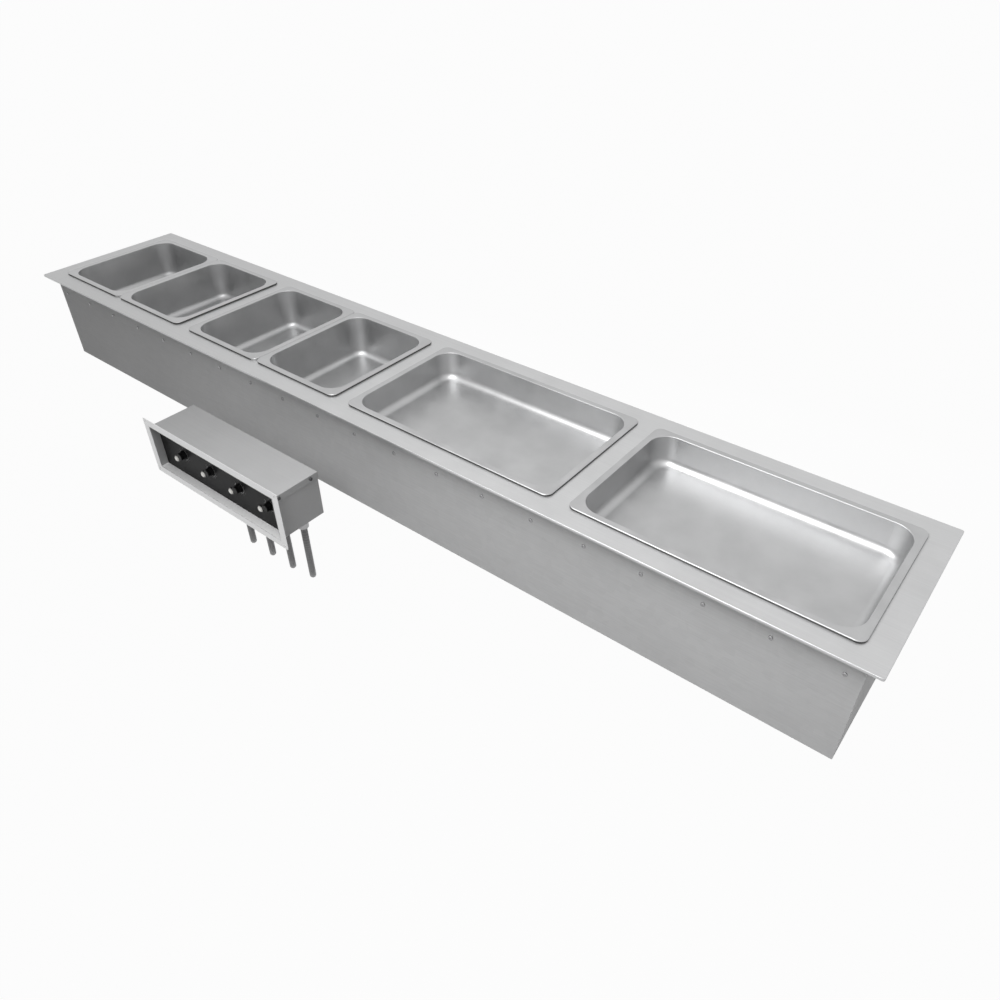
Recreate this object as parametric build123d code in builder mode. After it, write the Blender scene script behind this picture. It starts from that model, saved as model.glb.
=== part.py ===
from build123d import *
import os
from math import pi, radians, tan

# Drop-in hot food well: four wells in a row under one flange, four half-size and two full-size pans, and a
# control box that hangs in front of the housing on four flexible conduits.
# Millimetres. +X runs along the wells, -Y is the side of the controls, +Z is up. The origin is the middle of
# the cut-out in the counter, level with the counter's top, on which the flange's hem rests.

os.makedirs("parts", exist_ok=True)

# Pans
PAN_LENGTH = 527
PAN_WIDTH = 324
PAN_SHEET = 0.9
PAN_RIM_HEIGHT = 4.5
PAN_RIM_CORNER = 16
PAN_BEAD = 3.0
PAN_BEAD_ROUND = 1.8
PAN_MOUTH_ROUND = 1.4
PAN_CORNER = 42
PAN_TAPER = 5
PAN_FLOOR_ROUND = 18
PAN_CLEARANCE = 3.0
FULL_PAN_DEPTH = 65
HALF_PAN_DEPTH = 100
HALF_PAN_GAP = 1.0

# Row of wells and the flange around them
WELL_COUNT = 4
HALF_PAN_WELLS = 2
RIM_GAP = 40
END_BAND = 44
SIDE_BAND = 43
FLANGE_SHEET = 1.2
FLANGE_RISE = 5.0
FLANGE_CORNER = 4.0
FLANGE_EDGE_ROUND = 1.0
OVERHANG = 25.4
GASKET_WIDTH = 6.0
GASKET_INSET = 3.0
GASKET_GAP = 2.0

# Well liners and the bars that carry the half pans
RIM_OVERLAP = 9.5
STEP = 5.0
WELL_DEPTH = 165
WELL_CORNER = 28
WELL_FLOOR_ROUND = 20
LINER_SHEET = 1.0
LINER_LIP = 9.0
BAR_CLEARANCE = 3.0
BAR_END_GAP = 0.5
BAR_LEG = 14

# Heating under each well
ELEMENT_RADIUS = 4.0
ELEMENT_RUNS = 4
ELEMENT_INSET = 35
ELEMENT_EDGE = 38
ELEMENT_STRAIGHT = 12
ELEMENT_TERMINAL = 12
ELEMENT_GAP = 0.2
PLATE_SHEET = 1.0
PLATE_INSET = 4.0
PLATE_HOLE_GAP = 2.0
POST_RADIUS = 4.0
POST_INSET = 8.0
BULB_RADIUS = 3.0
BULB_LENGTH = 90
LIMIT_RADIUS = 8.0
LIMIT_HEIGHT = 7.0
LIMIT_TAB = (6.3, 0.8, 8.0)

# Housing under the counter
HOUSING_DEPTH = 236.3
HOUSING_SHEET = 1.0
HOUSING_BEND = 0.8
BOTTOM_RETURN = 18
END_LAP = 20
PANEL_GAP = 0.5
RAIL_HEIGHT = 30
RAIL_SHEET = 1.5
RAIL_GAP = 3.5
INSULATION = 20
INSULATION_GAP = 2.0
SCREW_RADIUS = 2.0
SCREW_TIP = 4.0
SCREW_HEAD_RADIUS = 4.0
SCREW_HEAD = 2.4
SCREW_GAP = 0.1
CROSS_LENGTH = 4.4
CROSS_WIDTH = 1.0
CROSS_DEPTH = 1.2
HOUSING_SCREWS = 7
HOUSING_SCREW_SPACING = 300
SIDE_SCREWS = 20
SIDE_SCREW_DROP = 45
SIDE_SCREW_EDGE = 7.5
STRIP_WIDTH = 20
STRIP_SHEET = 1.5

# Wiring bay inside the front of the housing
BAY_INSET = 39.6
BAY_WIDTH = 36
TERMINAL_X = -100
TERMINAL_LENGTH = 110
TERMINAL_WIDTH = 24
TERMINAL_HEIGHT = 22
TERMINAL_WAYS = 6
TERMINAL_WALL = 2.5
SUPPLY_X = 60
SUPPLY_BORE_RADIUS = 11.1
SUPPLY_NECK_RADIUS = 13.5
SUPPLY_LENGTH = 18

# Control box
BOX_X = -148
BOX_Z = -129.5
BEZEL_FRONT_Y = -411
BEZEL_LENGTH = 457
BEZEL_HEIGHT = 142
BEZEL_SHEET = 1.5
BEZEL_CORNER = 3.0
BEZEL_FLANGE = 16.5
BEZEL_FIT = 0.1
BEZEL_HOLE_RADIUS = 2.75
BEZEL_HOLE_INSET = 8.5
BOX_DEPTH = 117
BOX_SHEET = 1.2
BOX_BEND = 1.4
LID_FLANGE = 16
LID_SCREW_INSET = 20
LID_SCREW_GAP = 1.0
PANEL_RECESS = 18
PANEL_SHEET = 2.0
PANEL_RETURN = 12
PANEL_FIT = 0.2

# Knobs, thermostats and lamps
CONTROL_PITCH = 98
KNOB_SHIFT = 23
KNOB_RISE = 6.0
KNOB_RADIUS = 10.5
KNOB_SKIRT = 6.0
KNOB_TAPER = 10
KNOB_GRIP_RADIUS = 8.5
KNOB_LENGTH = 12.5
KNOB_HOLLOW_RADIUS = 7.8
KNOB_GAP = 1.0
KNOB_ROUND = 1.2
KNOB_FLUTES = 14
FLUTE_RADIUS = 0.9
POINTER_WIDTH = 1.4
POINTER_DEPTH = 0.8
SHAFT_RADIUS = 3.0
SHAFT_FLAT = 2.2
SHAFT_GRIP = 5.5
RUNNING_GAP = 0.05
NECK_RADIUS = 4.8
NECK_PROUD = 4.5
NUT_WIDTH = 12.7
NUT_HEIGHT = 3.0
THERMOSTAT_WIDTH = 42
THERMOSTAT_DEPTH = 36
THERMOSTAT_BORE = 24
THERMOSTAT_TAB = (6.3, 0.8, 8.0)
THERMOSTAT_TAB_SPACING = 20
LAMP_SHIFT = 12
LAMP_DROP = 18.5
LENS_RADIUS = 6.6
LENS_PROUD = 3.0
LENS_SEAT = 8.0
LENS_ROUND = 2.8
COLLAR_RADIUS = 8.4
COLLAR_HEIGHT = 2.0
BARREL_RADIUS = 7.4
BARREL_LENGTH = 20

# Conduits and their fittings
CONDUIT_RADIUS = 7.5
CONDUIT_Y = -336
CONDUIT_START_X = -67.5
CONDUIT_PITCH = 71
WELL_END_X = -386.5
WELL_END_PITCH = 89
FITTING_WIDTH = 27
FITTING_HEX = 10
FITTING_NUT_RADIUS = 12
FITTING_LENGTH = 24
FITTING_ROUND = 1.5
FITTING_NECK_RADIUS = 9.5
LOCKNUT_WIDTH = 27
LOCKNUT_HEIGHT = 4.0
THREAD_SPARE = 2.0
# Route of each conduit between its two fittings: share of the way to the well, and height
CONDUIT_ROUTE = [
    (0.0, -298), (0.07, -386), (0.267, -440), (0.507, -455), (0.733, -437), (0.915, -388), (1.0, -318),
]
# How much higher than the route each conduit hangs between its ends
CONDUIT_RAISE = [0, 0, 0, 13]
ARC_SHARE = 0.45

# Sizes that follow from the ones above
pan_lip = RIM_OVERLAP + PAN_CLEARANCE
rim_top = FLANGE_RISE + PAN_RIM_HEIGHT
half_pan_length = (PAN_LENGTH - HALF_PAN_GAP) / 2
well_pitch = PAN_LENGTH + RIM_GAP
well_x = [(i - (WELL_COUNT - 1) / 2) * well_pitch for i in range(WELL_COUNT)]
well_length = PAN_LENGTH - 2 * RIM_OVERLAP
well_width = PAN_WIDTH - 2 * RIM_OVERLAP
flange_length = WELL_COUNT * PAN_LENGTH + (WELL_COUNT - 1) * RIM_GAP + 2 * END_BAND
flange_width = PAN_WIDTH + 2 * SIDE_BAND
flange_under = FLANGE_RISE - FLANGE_SHEET
lip_length = well_length + 2 * (STEP + LINER_LIP)
lip_width = well_width + 2 * (STEP + LINER_LIP)
floor_under = flange_under - WELL_DEPTH - LINER_SHEET
element_z = floor_under - ELEMENT_GAP - ELEMENT_RADIUS
plate_top = element_z - ELEMENT_RADIUS - ELEMENT_GAP
plate_under = plate_top - PLATE_SHEET
plate_length = well_length - 2 * (WELL_FLOOR_ROUND + PLATE_INSET)
plate_width = well_width - 2 * (WELL_FLOOR_ROUND + PLATE_INSET)
element_length = well_length - 2 * (WELL_FLOOR_ROUND + ELEMENT_INSET)
element_pitch = (plate_width - 2 * ELEMENT_EDGE) / (ELEMENT_RUNS - 1)
element_bend = (element_pitch - ELEMENT_STRAIGHT) / 2
element_y = [(i - (ELEMENT_RUNS - 1) / 2) * element_pitch for i in range(ELEMENT_RUNS)]
housing_length = flange_length - 2 * OVERHANG
housing_width = flange_width - 2 * OVERHANG
housing_fold = HOUSING_BEND + HOUSING_SHEET
bay_y = BAY_INSET - housing_width / 2
top_return = OVERHANG - FLANGE_SHEET - GASKET_INSET - GASKET_WIDTH - GASKET_GAP
panel_under = -HOUSING_DEPTH + HOUSING_SHEET
panel_top = panel_under + HOUSING_SHEET
screw_row_y = (housing_width - BOTTOM_RETURN - HOUSING_SHEET) / 2
bottom_screw_places = [
    ((i - (HOUSING_SCREWS - 1) / 2) * HOUSING_SCREW_SPACING, screw_row_y) for i in range(HOUSING_SCREWS)
]
strip_length = housing_length - 2 * (END_LAP + PANEL_GAP)
side_screw_spacing = (strip_length - 2 * SIDE_SCREW_EDGE) / (SIDE_SCREWS - 1)
side_screw_places = [((i - (SIDE_SCREWS - 1) / 2) * side_screw_spacing, 0) for i in range(SIDE_SCREWS)]
box_length = BEZEL_LENGTH - 2 * BEZEL_FLANGE
box_height = BEZEL_HEIGHT - 2 * BEZEL_FLANGE
box_bottom = BOX_Z - box_height / 2
box_top = BOX_Z + box_height / 2
bezel_back_y = BEZEL_FRONT_Y + BEZEL_SHEET
box_rear_y = BEZEL_FRONT_Y + BOX_DEPTH
tray_length = box_length - 2 * BOX_SHEET
tray_depth = BOX_DEPTH - BOX_SHEET
recess_length = tray_length - 2 * BOX_SHEET
recess_height = box_height - 2 * BOX_SHEET
panel_front_y = BEZEL_FRONT_Y + PANEL_RECESS
panel_back_y = panel_front_y + PANEL_SHEET
knob_rear_y = panel_front_y - KNOB_GAP
knob_front_y = knob_rear_y - KNOB_LENGTH
neck_tip_y = panel_front_y - NECK_PROUD
control_steps = [(i - (WELL_COUNT - 1) / 2) * CONTROL_PITCH for i in range(WELL_COUNT)]
knob_places = [(step + KNOB_SHIFT, KNOB_RISE) for step in control_steps]
lamp_places = [(step - LAMP_SHIFT, -LAMP_DROP) for step in control_steps]
conduit_steps = [i - (WELL_COUNT - 1) / 2 for i in range(WELL_COUNT)]
box_ends = [(CONDUIT_START_X + step * CONDUIT_PITCH, CONDUIT_Y) for step in conduit_steps]
well_ends = [(WELL_END_X + step * WELL_END_PITCH, bay_y) for step in conduit_steps]
supply_place = (SUPPLY_X, bay_y)


def keep(piece, node):
    """Label a finished piece and write it under its node's name."""
    piece.part.label = node
    export_step(piece.part, f"parts/{node}.step")


def facing_front(x, y, z):
    """Plane at a point as seen from the controls' side: +X right, +Z up, normal towards -Y."""
    return Plane(origin=(x, y, z), x_dir=(1, 0, 0), z_dir=(0, -1, 0))


def bent_sheet(plane, points, radii, thickness):
    """Section of a sheet folded along points, on the left of their line."""
    with BuildSketch(plane) as section:
        with BuildLine():
            FilletPolyline(*points, radius=radii)
            offset(amount=thickness, side=Side.LEFT)
        make_face()
    return section.sketch


def screws(plane, places, grip):
    """Screws with rounded, cross-recessed heads on a plane, and shanks back through what they grip."""
    with BuildPart() as row:
        with BuildSketch(plane):
            with Locations(*places):
                Circle(SCREW_HEAD_RADIUS)
        extrude(amount=SCREW_HEAD)
        head_faces = row.faces().group_by(Axis(plane.origin, plane.z_dir))[-1]
        fillet(head_faces.edges(), SCREW_HEAD / 2)
        with BuildSketch(plane.offset(SCREW_HEAD)):
            with Locations(*places):
                Rectangle(CROSS_LENGTH, CROSS_WIDTH)
                Rectangle(CROSS_WIDTH, CROSS_LENGTH)
        extrude(amount=-CROSS_DEPTH, mode=Mode.SUBTRACT)
        with BuildSketch(plane):
            with Locations(*places):
                Circle(SCREW_RADIUS)
        extrude(amount=-grip - SCREW_TIP)
    return row.part


# Top flange: one sheet with a turned-down hem and an opening over each well
with BuildPart() as top_flange:
    with BuildSketch(Plane.XY.offset(FLANGE_RISE)):
        RectangleRounded(flange_length, flange_width, FLANGE_CORNER)
        with GridLocations(well_pitch, 0, WELL_COUNT, 1):
            RectangleRounded(
                well_length + 2 * STEP, well_width + 2 * STEP, WELL_CORNER + STEP, mode=Mode.SUBTRACT
            )
    extrude(amount=-FLANGE_SHEET)
    with BuildSketch():
        RectangleRounded(flange_length, flange_width, FLANGE_CORNER)
        offset(amount=-FLANGE_SHEET, mode=Mode.SUBTRACT)
    extrude(amount=flange_under)
    fillet(top_flange.faces().sort_by(Axis.Z)[-1].outer_wire().edges(), FLANGE_EDGE_ROUND)
keep(top_flange, "top_flange")

# Gasket that seals the flange to the counter, inside the hem
with BuildPart() as flange_gasket:
    with BuildSketch():
        Rectangle(
            flange_length - 2 * (FLANGE_SHEET + GASKET_INSET), flange_width - 2 * (FLANGE_SHEET + GASKET_INSET)
        )
        offset(amount=-GASKET_WIDTH, kind=Kind.INTERSECTION, mode=Mode.SUBTRACT)
    extrude(amount=flange_under)
keep(flange_gasket, "flange_gasket")


def well_liner(x):
    """Drawn liner of one well, hung by its lip under the flange."""
    with BuildPart() as liner:
        with BuildSketch(Plane((x, 0, flange_under))):
            RectangleRounded(
                well_length + 2 * LINER_SHEET, well_width + 2 * LINER_SHEET, WELL_CORNER + LINER_SHEET
            )
        extrude(amount=-(WELL_DEPTH + LINER_SHEET))
        fillet(liner.faces().sort_by(Axis.Z)[0].edges(), WELL_FLOOR_ROUND + LINER_SHEET)
        offset(amount=-LINER_SHEET, openings=liner.faces().sort_by(Axis.Z)[-1])
        with BuildSketch(Plane((x, 0, flange_under))):
            RectangleRounded(lip_length, lip_width, WELL_CORNER + STEP + LINER_LIP)
            RectangleRounded(well_length, well_width, WELL_CORNER, mode=Mode.SUBTRACT)
        extrude(amount=-LINER_SHEET)
    return liner


def pan_form(x, length, width, depth, corner, floor_round):
    """Block with a pan's tapered sides and rounded floor, from the level of the rim down."""
    with BuildPart() as form:
        with BuildSketch(Plane((x, 0, rim_top))):
            RectangleRounded(length, width, corner)
        extrude(amount=-depth, taper=PAN_TAPER)
        fillet(form.faces().sort_by(Axis.Z)[0].edges(), floor_round)
    return form.part


def pan(x, length, depth):
    """Pan with a flat rim, a bead around it that rests on the flange, and tapered sides."""
    mouth_length = length - 2 * pan_lip
    mouth_width = PAN_WIDTH - 2 * pan_lip
    inner_length = mouth_length - 2 * PAN_SHEET
    inner_width = mouth_width - 2 * PAN_SHEET
    inner_corner = PAN_CORNER - PAN_SHEET
    with BuildPart() as tray:
        add(pan_form(x, mouth_length, mouth_width, depth, PAN_CORNER, PAN_FLOOR_ROUND))
        with BuildSketch(Plane((x, 0, rim_top))):
            RectangleRounded(length, PAN_WIDTH, PAN_RIM_CORNER)
        extrude(amount=-PAN_SHEET)
        with BuildSketch(Plane((x, 0, FLANGE_RISE))):
            RectangleRounded(length, PAN_WIDTH, PAN_RIM_CORNER)
            offset(amount=-PAN_BEAD, mode=Mode.SUBTRACT)
        extrude(amount=PAN_RIM_HEIGHT)
        fillet(tray.faces().sort_by(Axis.Z)[-1].edges(), PAN_BEAD_ROUND)
        hollow = pan_form(
            x, inner_length, inner_width, depth - PAN_SHEET, inner_corner, PAN_FLOOR_ROUND - PAN_SHEET
        )
        add(hollow, mode=Mode.SUBTRACT)
        fillet(tray.faces().sort_by(Axis.Z)[-1].inner_wires().edges(), PAN_MOUTH_ROUND)
    return tray


def adapter_bar(x):
    """Channel across a well that carries the meeting rims of two half pans, level with the flange."""
    width = HALF_PAN_GAP + 2 * (pan_lip - BAR_CLEARANCE)
    leg_length = well_width - 2 * BAR_CLEARANCE
    with BuildPart() as bar:
        with BuildSketch(Plane((x, 0, flange_under))):
            Rectangle(width, well_width + 2 * (STEP - BAR_END_GAP))
        extrude(amount=FLANGE_SHEET)
        with BuildSketch(Plane((x, 0, flange_under))):
            with GridLocations(width - FLANGE_SHEET, 0, 2, 1):
                Rectangle(FLANGE_SHEET, leg_length)
        extrude(amount=-BAR_LEG)
    return bar


for number, x in enumerate(well_x, start=1):
    keep(well_liner(x), f"well_liner_{number}")

for number, x in enumerate(well_x[:HALF_PAN_WELLS], start=1):
    keep(adapter_bar(x), f"adapter_bar_{number}")
    half_step = (half_pan_length + HALF_PAN_GAP) / 2
    keep(pan(x - half_step, half_pan_length, HALF_PAN_DEPTH), f"half_pan_{2 * number - 1}")
    keep(pan(x + half_step, half_pan_length, HALF_PAN_DEPTH), f"half_pan_{2 * number}")

for number, x in enumerate(well_x[HALF_PAN_WELLS:], start=1):
    keep(pan(x, PAN_LENGTH, FULL_PAN_DEPTH), f"full_pan_{number}")


def heating_element(x):
    """Sheathed element bent to and fro under a well's floor, with its two ends turned down."""
    near = x - element_length / 2
    far = x + element_length / 2
    drop = element_bend + ELEMENT_TERMINAL
    points = [(near, element_y[0], element_z - drop)]
    for i, y in enumerate(element_y):
        ends = (near, far) if i % 2 == 0 else (far, near)
        points += [(ends[0], y, element_z), (ends[1], y, element_z)]
    points.append((points[-1][0], element_y[-1], element_z - drop))
    with BuildPart() as element:
        with BuildLine() as path:
            FilletPolyline(*points, radius=element_bend)
        with BuildSketch(Plane(origin=path.line @ 0, z_dir=path.line % 0)):
            Circle(ELEMENT_RADIUS)
        sweep()
    return element


for number, x in enumerate(well_x, start=1):
    keep(heating_element(x), f"heating_element_{number}")

# Plates that hold the elements and the bulbs up against the liners, each on four posts
last_side = -1 if ELEMENT_RUNS % 2 == 0 else 1
slot_x = (element_length - element_bend) / 2
element_slots = [(-slot_x, element_y[0]), (last_side * slot_x, element_y[-1])]
slot_width = 2 * (ELEMENT_RADIUS + PLATE_HOLE_GAP)
with BuildPart() as element_plates:
    with BuildSketch(Plane.XY.offset(plate_under)):
        for x in well_x:
            with Locations((x, 0)):
                Rectangle(plate_length, plate_width)
            with Locations(*[(x + end_x, end_y) for end_x, end_y in element_slots]):
                SlotCenterToCenter(element_bend, slot_width, mode=Mode.SUBTRACT)
    extrude(amount=PLATE_SHEET)
    with BuildSketch(Plane.XY.offset(plate_top)):
        for x in well_x:
            with Locations((x, 0)):
                with GridLocations(plate_length - 2 * POST_INSET, plate_width - 2 * POST_INSET, 2, 2):
                    Circle(POST_RADIUS)
    extrude(amount=floor_under - plate_top)
keep(element_plates, "element_plates")

# Thermostat bulbs, lying on the plates between the first two runs of each element
with BuildPart() as sensor_bulbs:
    for x in well_x:
        bulb_end = (x - BULB_LENGTH / 2, element_y[0] + element_pitch / 2, plate_top + BULB_RADIUS)
        with BuildSketch(Plane(origin=bulb_end, z_dir=(1, 0, 0))):
            Circle(BULB_RADIUS)
        extrude(amount=BULB_LENGTH)
keep(sensor_bulbs, "sensor_bulbs")

# High-limit discs under the plates, each with two tabs
with BuildPart() as high_limits:
    with BuildSketch(Plane.XY.offset(plate_under)):
        with Locations(*[(x, 0) for x in well_x]):
            Circle(LIMIT_RADIUS)
    extrude(amount=-LIMIT_HEIGHT)
    with BuildSketch(Plane.XY.offset(plate_under - LIMIT_HEIGHT)):
        for x in well_x:
            with Locations((x, 0)):
                with GridLocations(0, LIMIT_RADIUS, 1, 2):
                    Rectangle(LIMIT_TAB[0], LIMIT_TAB[1])
    extrude(amount=-LIMIT_TAB[2])
keep(high_limits, "high_limits")

# Front panel: folded out under the flange and in under the bottom panel; the back panel is its mirror image
front_face = -housing_width / 2
front_fold = [
    (front_face - top_return, flange_under - HOUSING_SHEET),
    (front_face, flange_under - HOUSING_SHEET),
    (front_face, -HOUSING_DEPTH),
    (front_face + BOTTOM_RETURN, -HOUSING_DEPTH),
]
bottom_face = Plane(origin=(0, 0, -HOUSING_DEPTH), x_dir=(1, 0, 0), z_dir=(0, 0, -1))
side_row = facing_front(0, front_face, -SIDE_SCREW_DROP)
screw_hole = SCREW_RADIUS + SCREW_GAP
with BuildPart() as front_panel:
    extrude(
        bent_sheet(Plane.YZ, front_fold, [HOUSING_BEND, housing_fold], HOUSING_SHEET),
        amount=housing_length / 2 - HOUSING_SHEET,
        both=True,
    )
    with BuildSketch(bottom_face):
        with Locations(*bottom_screw_places):
            Circle(screw_hole)
    extrude(amount=-HOUSING_SHEET, mode=Mode.SUBTRACT)
    with BuildSketch(side_row):
        with Locations(*side_screw_places):
            Circle(screw_hole)
    extrude(amount=-HOUSING_SHEET, mode=Mode.SUBTRACT)
keep(front_panel, "front_panel")

with BuildPart() as back_panel:
    mirror(front_panel.part, about=Plane.XZ)
keep(back_panel, "back_panel")

# Strips that stiffen the tops of the front and back panels from inside
with BuildPart() as panel_strips:
    with BuildSketch(side_row.offset(-HOUSING_SHEET - SCREW_GAP)):
        Rectangle(strip_length, STRIP_WIDTH)
        with Locations(*side_screw_places):
            Circle(screw_hole, mode=Mode.SUBTRACT)
    extrude(amount=-STRIP_SHEET)
    mirror(about=Plane.XZ)
keep(panel_strips, "panel_strips")

# Left end panel: lapped inside the long panels; the right one is its mirror image
end_face = -housing_length / 2
lap_bottom = panel_top + PANEL_GAP
end_fold = [
    (end_face - top_return, flange_under - HOUSING_SHEET),
    (end_face, flange_under - HOUSING_SHEET),
    (end_face, -HOUSING_DEPTH),
    (end_face + BOTTOM_RETURN, -HOUSING_DEPTH),
]
end_relief = (end_face, -HOUSING_DEPTH + housing_fold)
with BuildPart() as left_end_panel:
    extrude(
        bent_sheet(Plane.XZ, end_fold, [HOUSING_BEND, housing_fold], HOUSING_SHEET),
        amount=housing_width / 2 - BOTTOM_RETURN - PANEL_GAP,
        both=True,
    )
    extrude(
        bent_sheet(Plane.XZ, end_fold[:2] + [end_relief], [HOUSING_BEND], HOUSING_SHEET),
        amount=housing_width / 2,
        both=True,
    )
    with BuildSketch(Plane.XY.offset(lap_bottom)):
        with Locations((end_face + END_LAP / 2, 0)):
            with GridLocations(0, housing_width - 3 * HOUSING_SHEET, 1, 2):
                Rectangle(END_LAP, HOUSING_SHEET)
    extrude(amount=-RAIL_HEIGHT - lap_bottom)
keep(left_end_panel, "left_end_panel")

with BuildPart() as right_end_panel:
    mirror(left_end_panel.part, about=Plane.YZ)
keep(right_end_panel, "right_end_panel")

# Bottom panel, laid on the inner folds, with holes for its screws, the conduits and the supply
panel_margin = housing_fold + PANEL_GAP
with BuildPart() as bottom_panel:
    with BuildSketch(Plane.XY.offset(panel_under)):
        Rectangle(housing_length - 2 * panel_margin, housing_width - 2 * panel_margin)
        with GridLocations(HOUSING_SCREW_SPACING, 2 * screw_row_y, HOUSING_SCREWS, 2):
            Circle(screw_hole, mode=Mode.SUBTRACT)
        with Locations(*well_ends):
            Circle(FITTING_NECK_RADIUS + SCREW_GAP, mode=Mode.SUBTRACT)
        with Locations(supply_place):
            Circle(SUPPLY_NECK_RADIUS + SCREW_GAP, mode=Mode.SUBTRACT)
    extrude(amount=HOUSING_SHEET)
keep(bottom_panel, "bottom_panel")

# Screws that hold the bottom panel, driven from below, and the strips behind the front and back panels
with BuildPart() as housing_screws:
    add(screws(bottom_face, bottom_screw_places, 2 * HOUSING_SHEET))
    add(screws(side_row, side_screw_places, HOUSING_SHEET + SCREW_GAP + STRIP_SHEET))
    mirror(about=Plane.XZ)
keep(housing_screws, "housing_screws")

# Cross rails: channels under the flange between the wells, from the front panel to the back panel
rail_half = (well_pitch - lip_length) / 2 - RAIL_GAP
with BuildPart() as cross_rails:
    for rail_x in [(left + right) / 2 for left, right in zip(well_x, well_x[1:])]:
        rail_fold = [
            (rail_x + rail_half, flange_under - RAIL_HEIGHT),
            (rail_x + rail_half, flange_under),
            (rail_x - rail_half, flange_under),
            (rail_x - rail_half, flange_under - RAIL_HEIGHT),
        ]
        extrude(
            bent_sheet(Plane.XZ, rail_fold, RAIL_SHEET + HOUSING_BEND, RAIL_SHEET),
            amount=housing_width / 2 - HOUSING_SHEET,
            both=True,
        )
keep(cross_rails, "cross_rails")

# Insulation boards against the four walls, below the strips, and a mat on the bottom panel behind the bay
board_bottom = panel_top + SCREW_TIP + INSULATION_GAP
board_top = -SIDE_SCREW_DROP - STRIP_WIDTH / 2 - INSULATION_GAP
board_height = board_top - board_bottom
board_length = housing_length - 2 * (HOUSING_SHEET + INSULATION + INSULATION_GAP)
board_y = (housing_width - INSULATION) / 2 - HOUSING_SHEET
with BuildPart() as insulation_front:
    with BuildSketch(Plane((0, -board_y, board_bottom))):
        Rectangle(board_length, INSULATION)
    extrude(amount=board_height)
keep(insulation_front, "insulation_front")

with BuildPart() as insulation_back:
    mirror(insulation_front.part, about=Plane.XZ)
keep(insulation_back, "insulation_back")

with BuildPart() as insulation_ends:
    with BuildSketch(Plane.XY.offset(board_bottom)):
        with GridLocations(housing_length - 2 * HOUSING_SHEET - INSULATION, 0, 2, 1):
            Rectangle(INSULATION, 2 * board_y - INSULATION - 2 * INSULATION_GAP)
    extrude(amount=board_height)
keep(insulation_ends, "insulation_ends")

mat_front = bay_y + BAY_WIDTH / 2
mat_back = board_y - INSULATION / 2 - INSULATION_GAP
with BuildPart() as insulation_bottom:
    with BuildSketch(Plane((0, (mat_front + mat_back) / 2, panel_top))):
        Rectangle(board_length, mat_back - mat_front)
    extrude(amount=INSULATION)
keep(insulation_bottom, "insulation_bottom")

# Terminal block in the wiring bay: a base with a barrier between each two ways
with BuildPart() as terminal_block:
    with BuildSketch(Plane((TERMINAL_X, bay_y, panel_top))):
        Rectangle(TERMINAL_LENGTH, TERMINAL_WIDTH)
    extrude(amount=TERMINAL_HEIGHT)
    way = (TERMINAL_LENGTH - TERMINAL_WALL) / TERMINAL_WAYS
    with BuildSketch(Plane((TERMINAL_X, bay_y, panel_top + TERMINAL_HEIGHT))):
        with GridLocations(way, 0, TERMINAL_WAYS, 1):
            Rectangle(way - TERMINAL_WALL, TERMINAL_WIDTH)
    extrude(amount=-TERMINAL_HEIGHT / 2, mode=Mode.SUBTRACT)
keep(terminal_block, "terminal_block")

# Supply hub: threaded outlet in the bottom panel for the building's own conduit
with BuildPart() as supply_hub:
    with BuildSketch(Plane((*supply_place, panel_under))):
        RegularPolygon(SUPPLY_NECK_RADIUS + LOCKNUT_HEIGHT, 6, major_radius=False)
    extrude(amount=-SUPPLY_LENGTH)
    with BuildSketch(Plane((*supply_place, panel_under))):
        Circle(SUPPLY_NECK_RADIUS)
    extrude(amount=HOUSING_SHEET + LOCKNUT_HEIGHT + THREAD_SPARE)
    with BuildSketch(Plane((*supply_place, panel_under - SUPPLY_LENGTH))):
        Circle(SUPPLY_BORE_RADIUS)
    extrude(amount=SUPPLY_LENGTH + HOUSING_SHEET + LOCKNUT_HEIGHT + THREAD_SPARE, mode=Mode.SUBTRACT)
keep(supply_hub, "supply_hub")

# Control box tray: bottom, ends and rear, open to the front and under the lid
tray_y = BEZEL_FRONT_Y + tray_depth / 2
lid_screw_y = [panel_front_y - SCREW_RADIUS - LID_SCREW_GAP, box_rear_y - LID_SCREW_INSET]
lid_screw_places = [(y, box_top - LID_FLANGE / 2) for y in lid_screw_y]
across_box = Plane(origin=(BOX_X, 0, 0), x_dir=(0, 1, 0), z_dir=(1, 0, 0))
with BuildPart() as control_box_shell:
    with BuildSketch(Plane((BOX_X, tray_y, box_bottom))):
        Rectangle(tray_length, tray_depth)
    extrude(amount=box_height - BOX_SHEET)
    fillet(control_box_shell.edges().filter_by(Axis.Y).group_by(Axis.Z)[0], BOX_BEND)
    with BuildSketch(Plane((BOX_X, tray_y - BOX_SHEET / 2, box_bottom + BOX_SHEET))):
        Rectangle(recess_length, tray_depth - BOX_SHEET)
    extrude(amount=box_height, mode=Mode.SUBTRACT)
    with BuildSketch(Plane.XY.offset(box_bottom)):
        with Locations(*box_ends):
            Circle(FITTING_NECK_RADIUS + SCREW_GAP)
    extrude(amount=BOX_SHEET, mode=Mode.SUBTRACT)
    with BuildSketch(across_box):
        with Locations(*lid_screw_places):
            Circle(screw_hole)
    extrude(amount=box_length, both=True, mode=Mode.SUBTRACT)
keep(control_box_shell, "control_box_shell")

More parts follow.
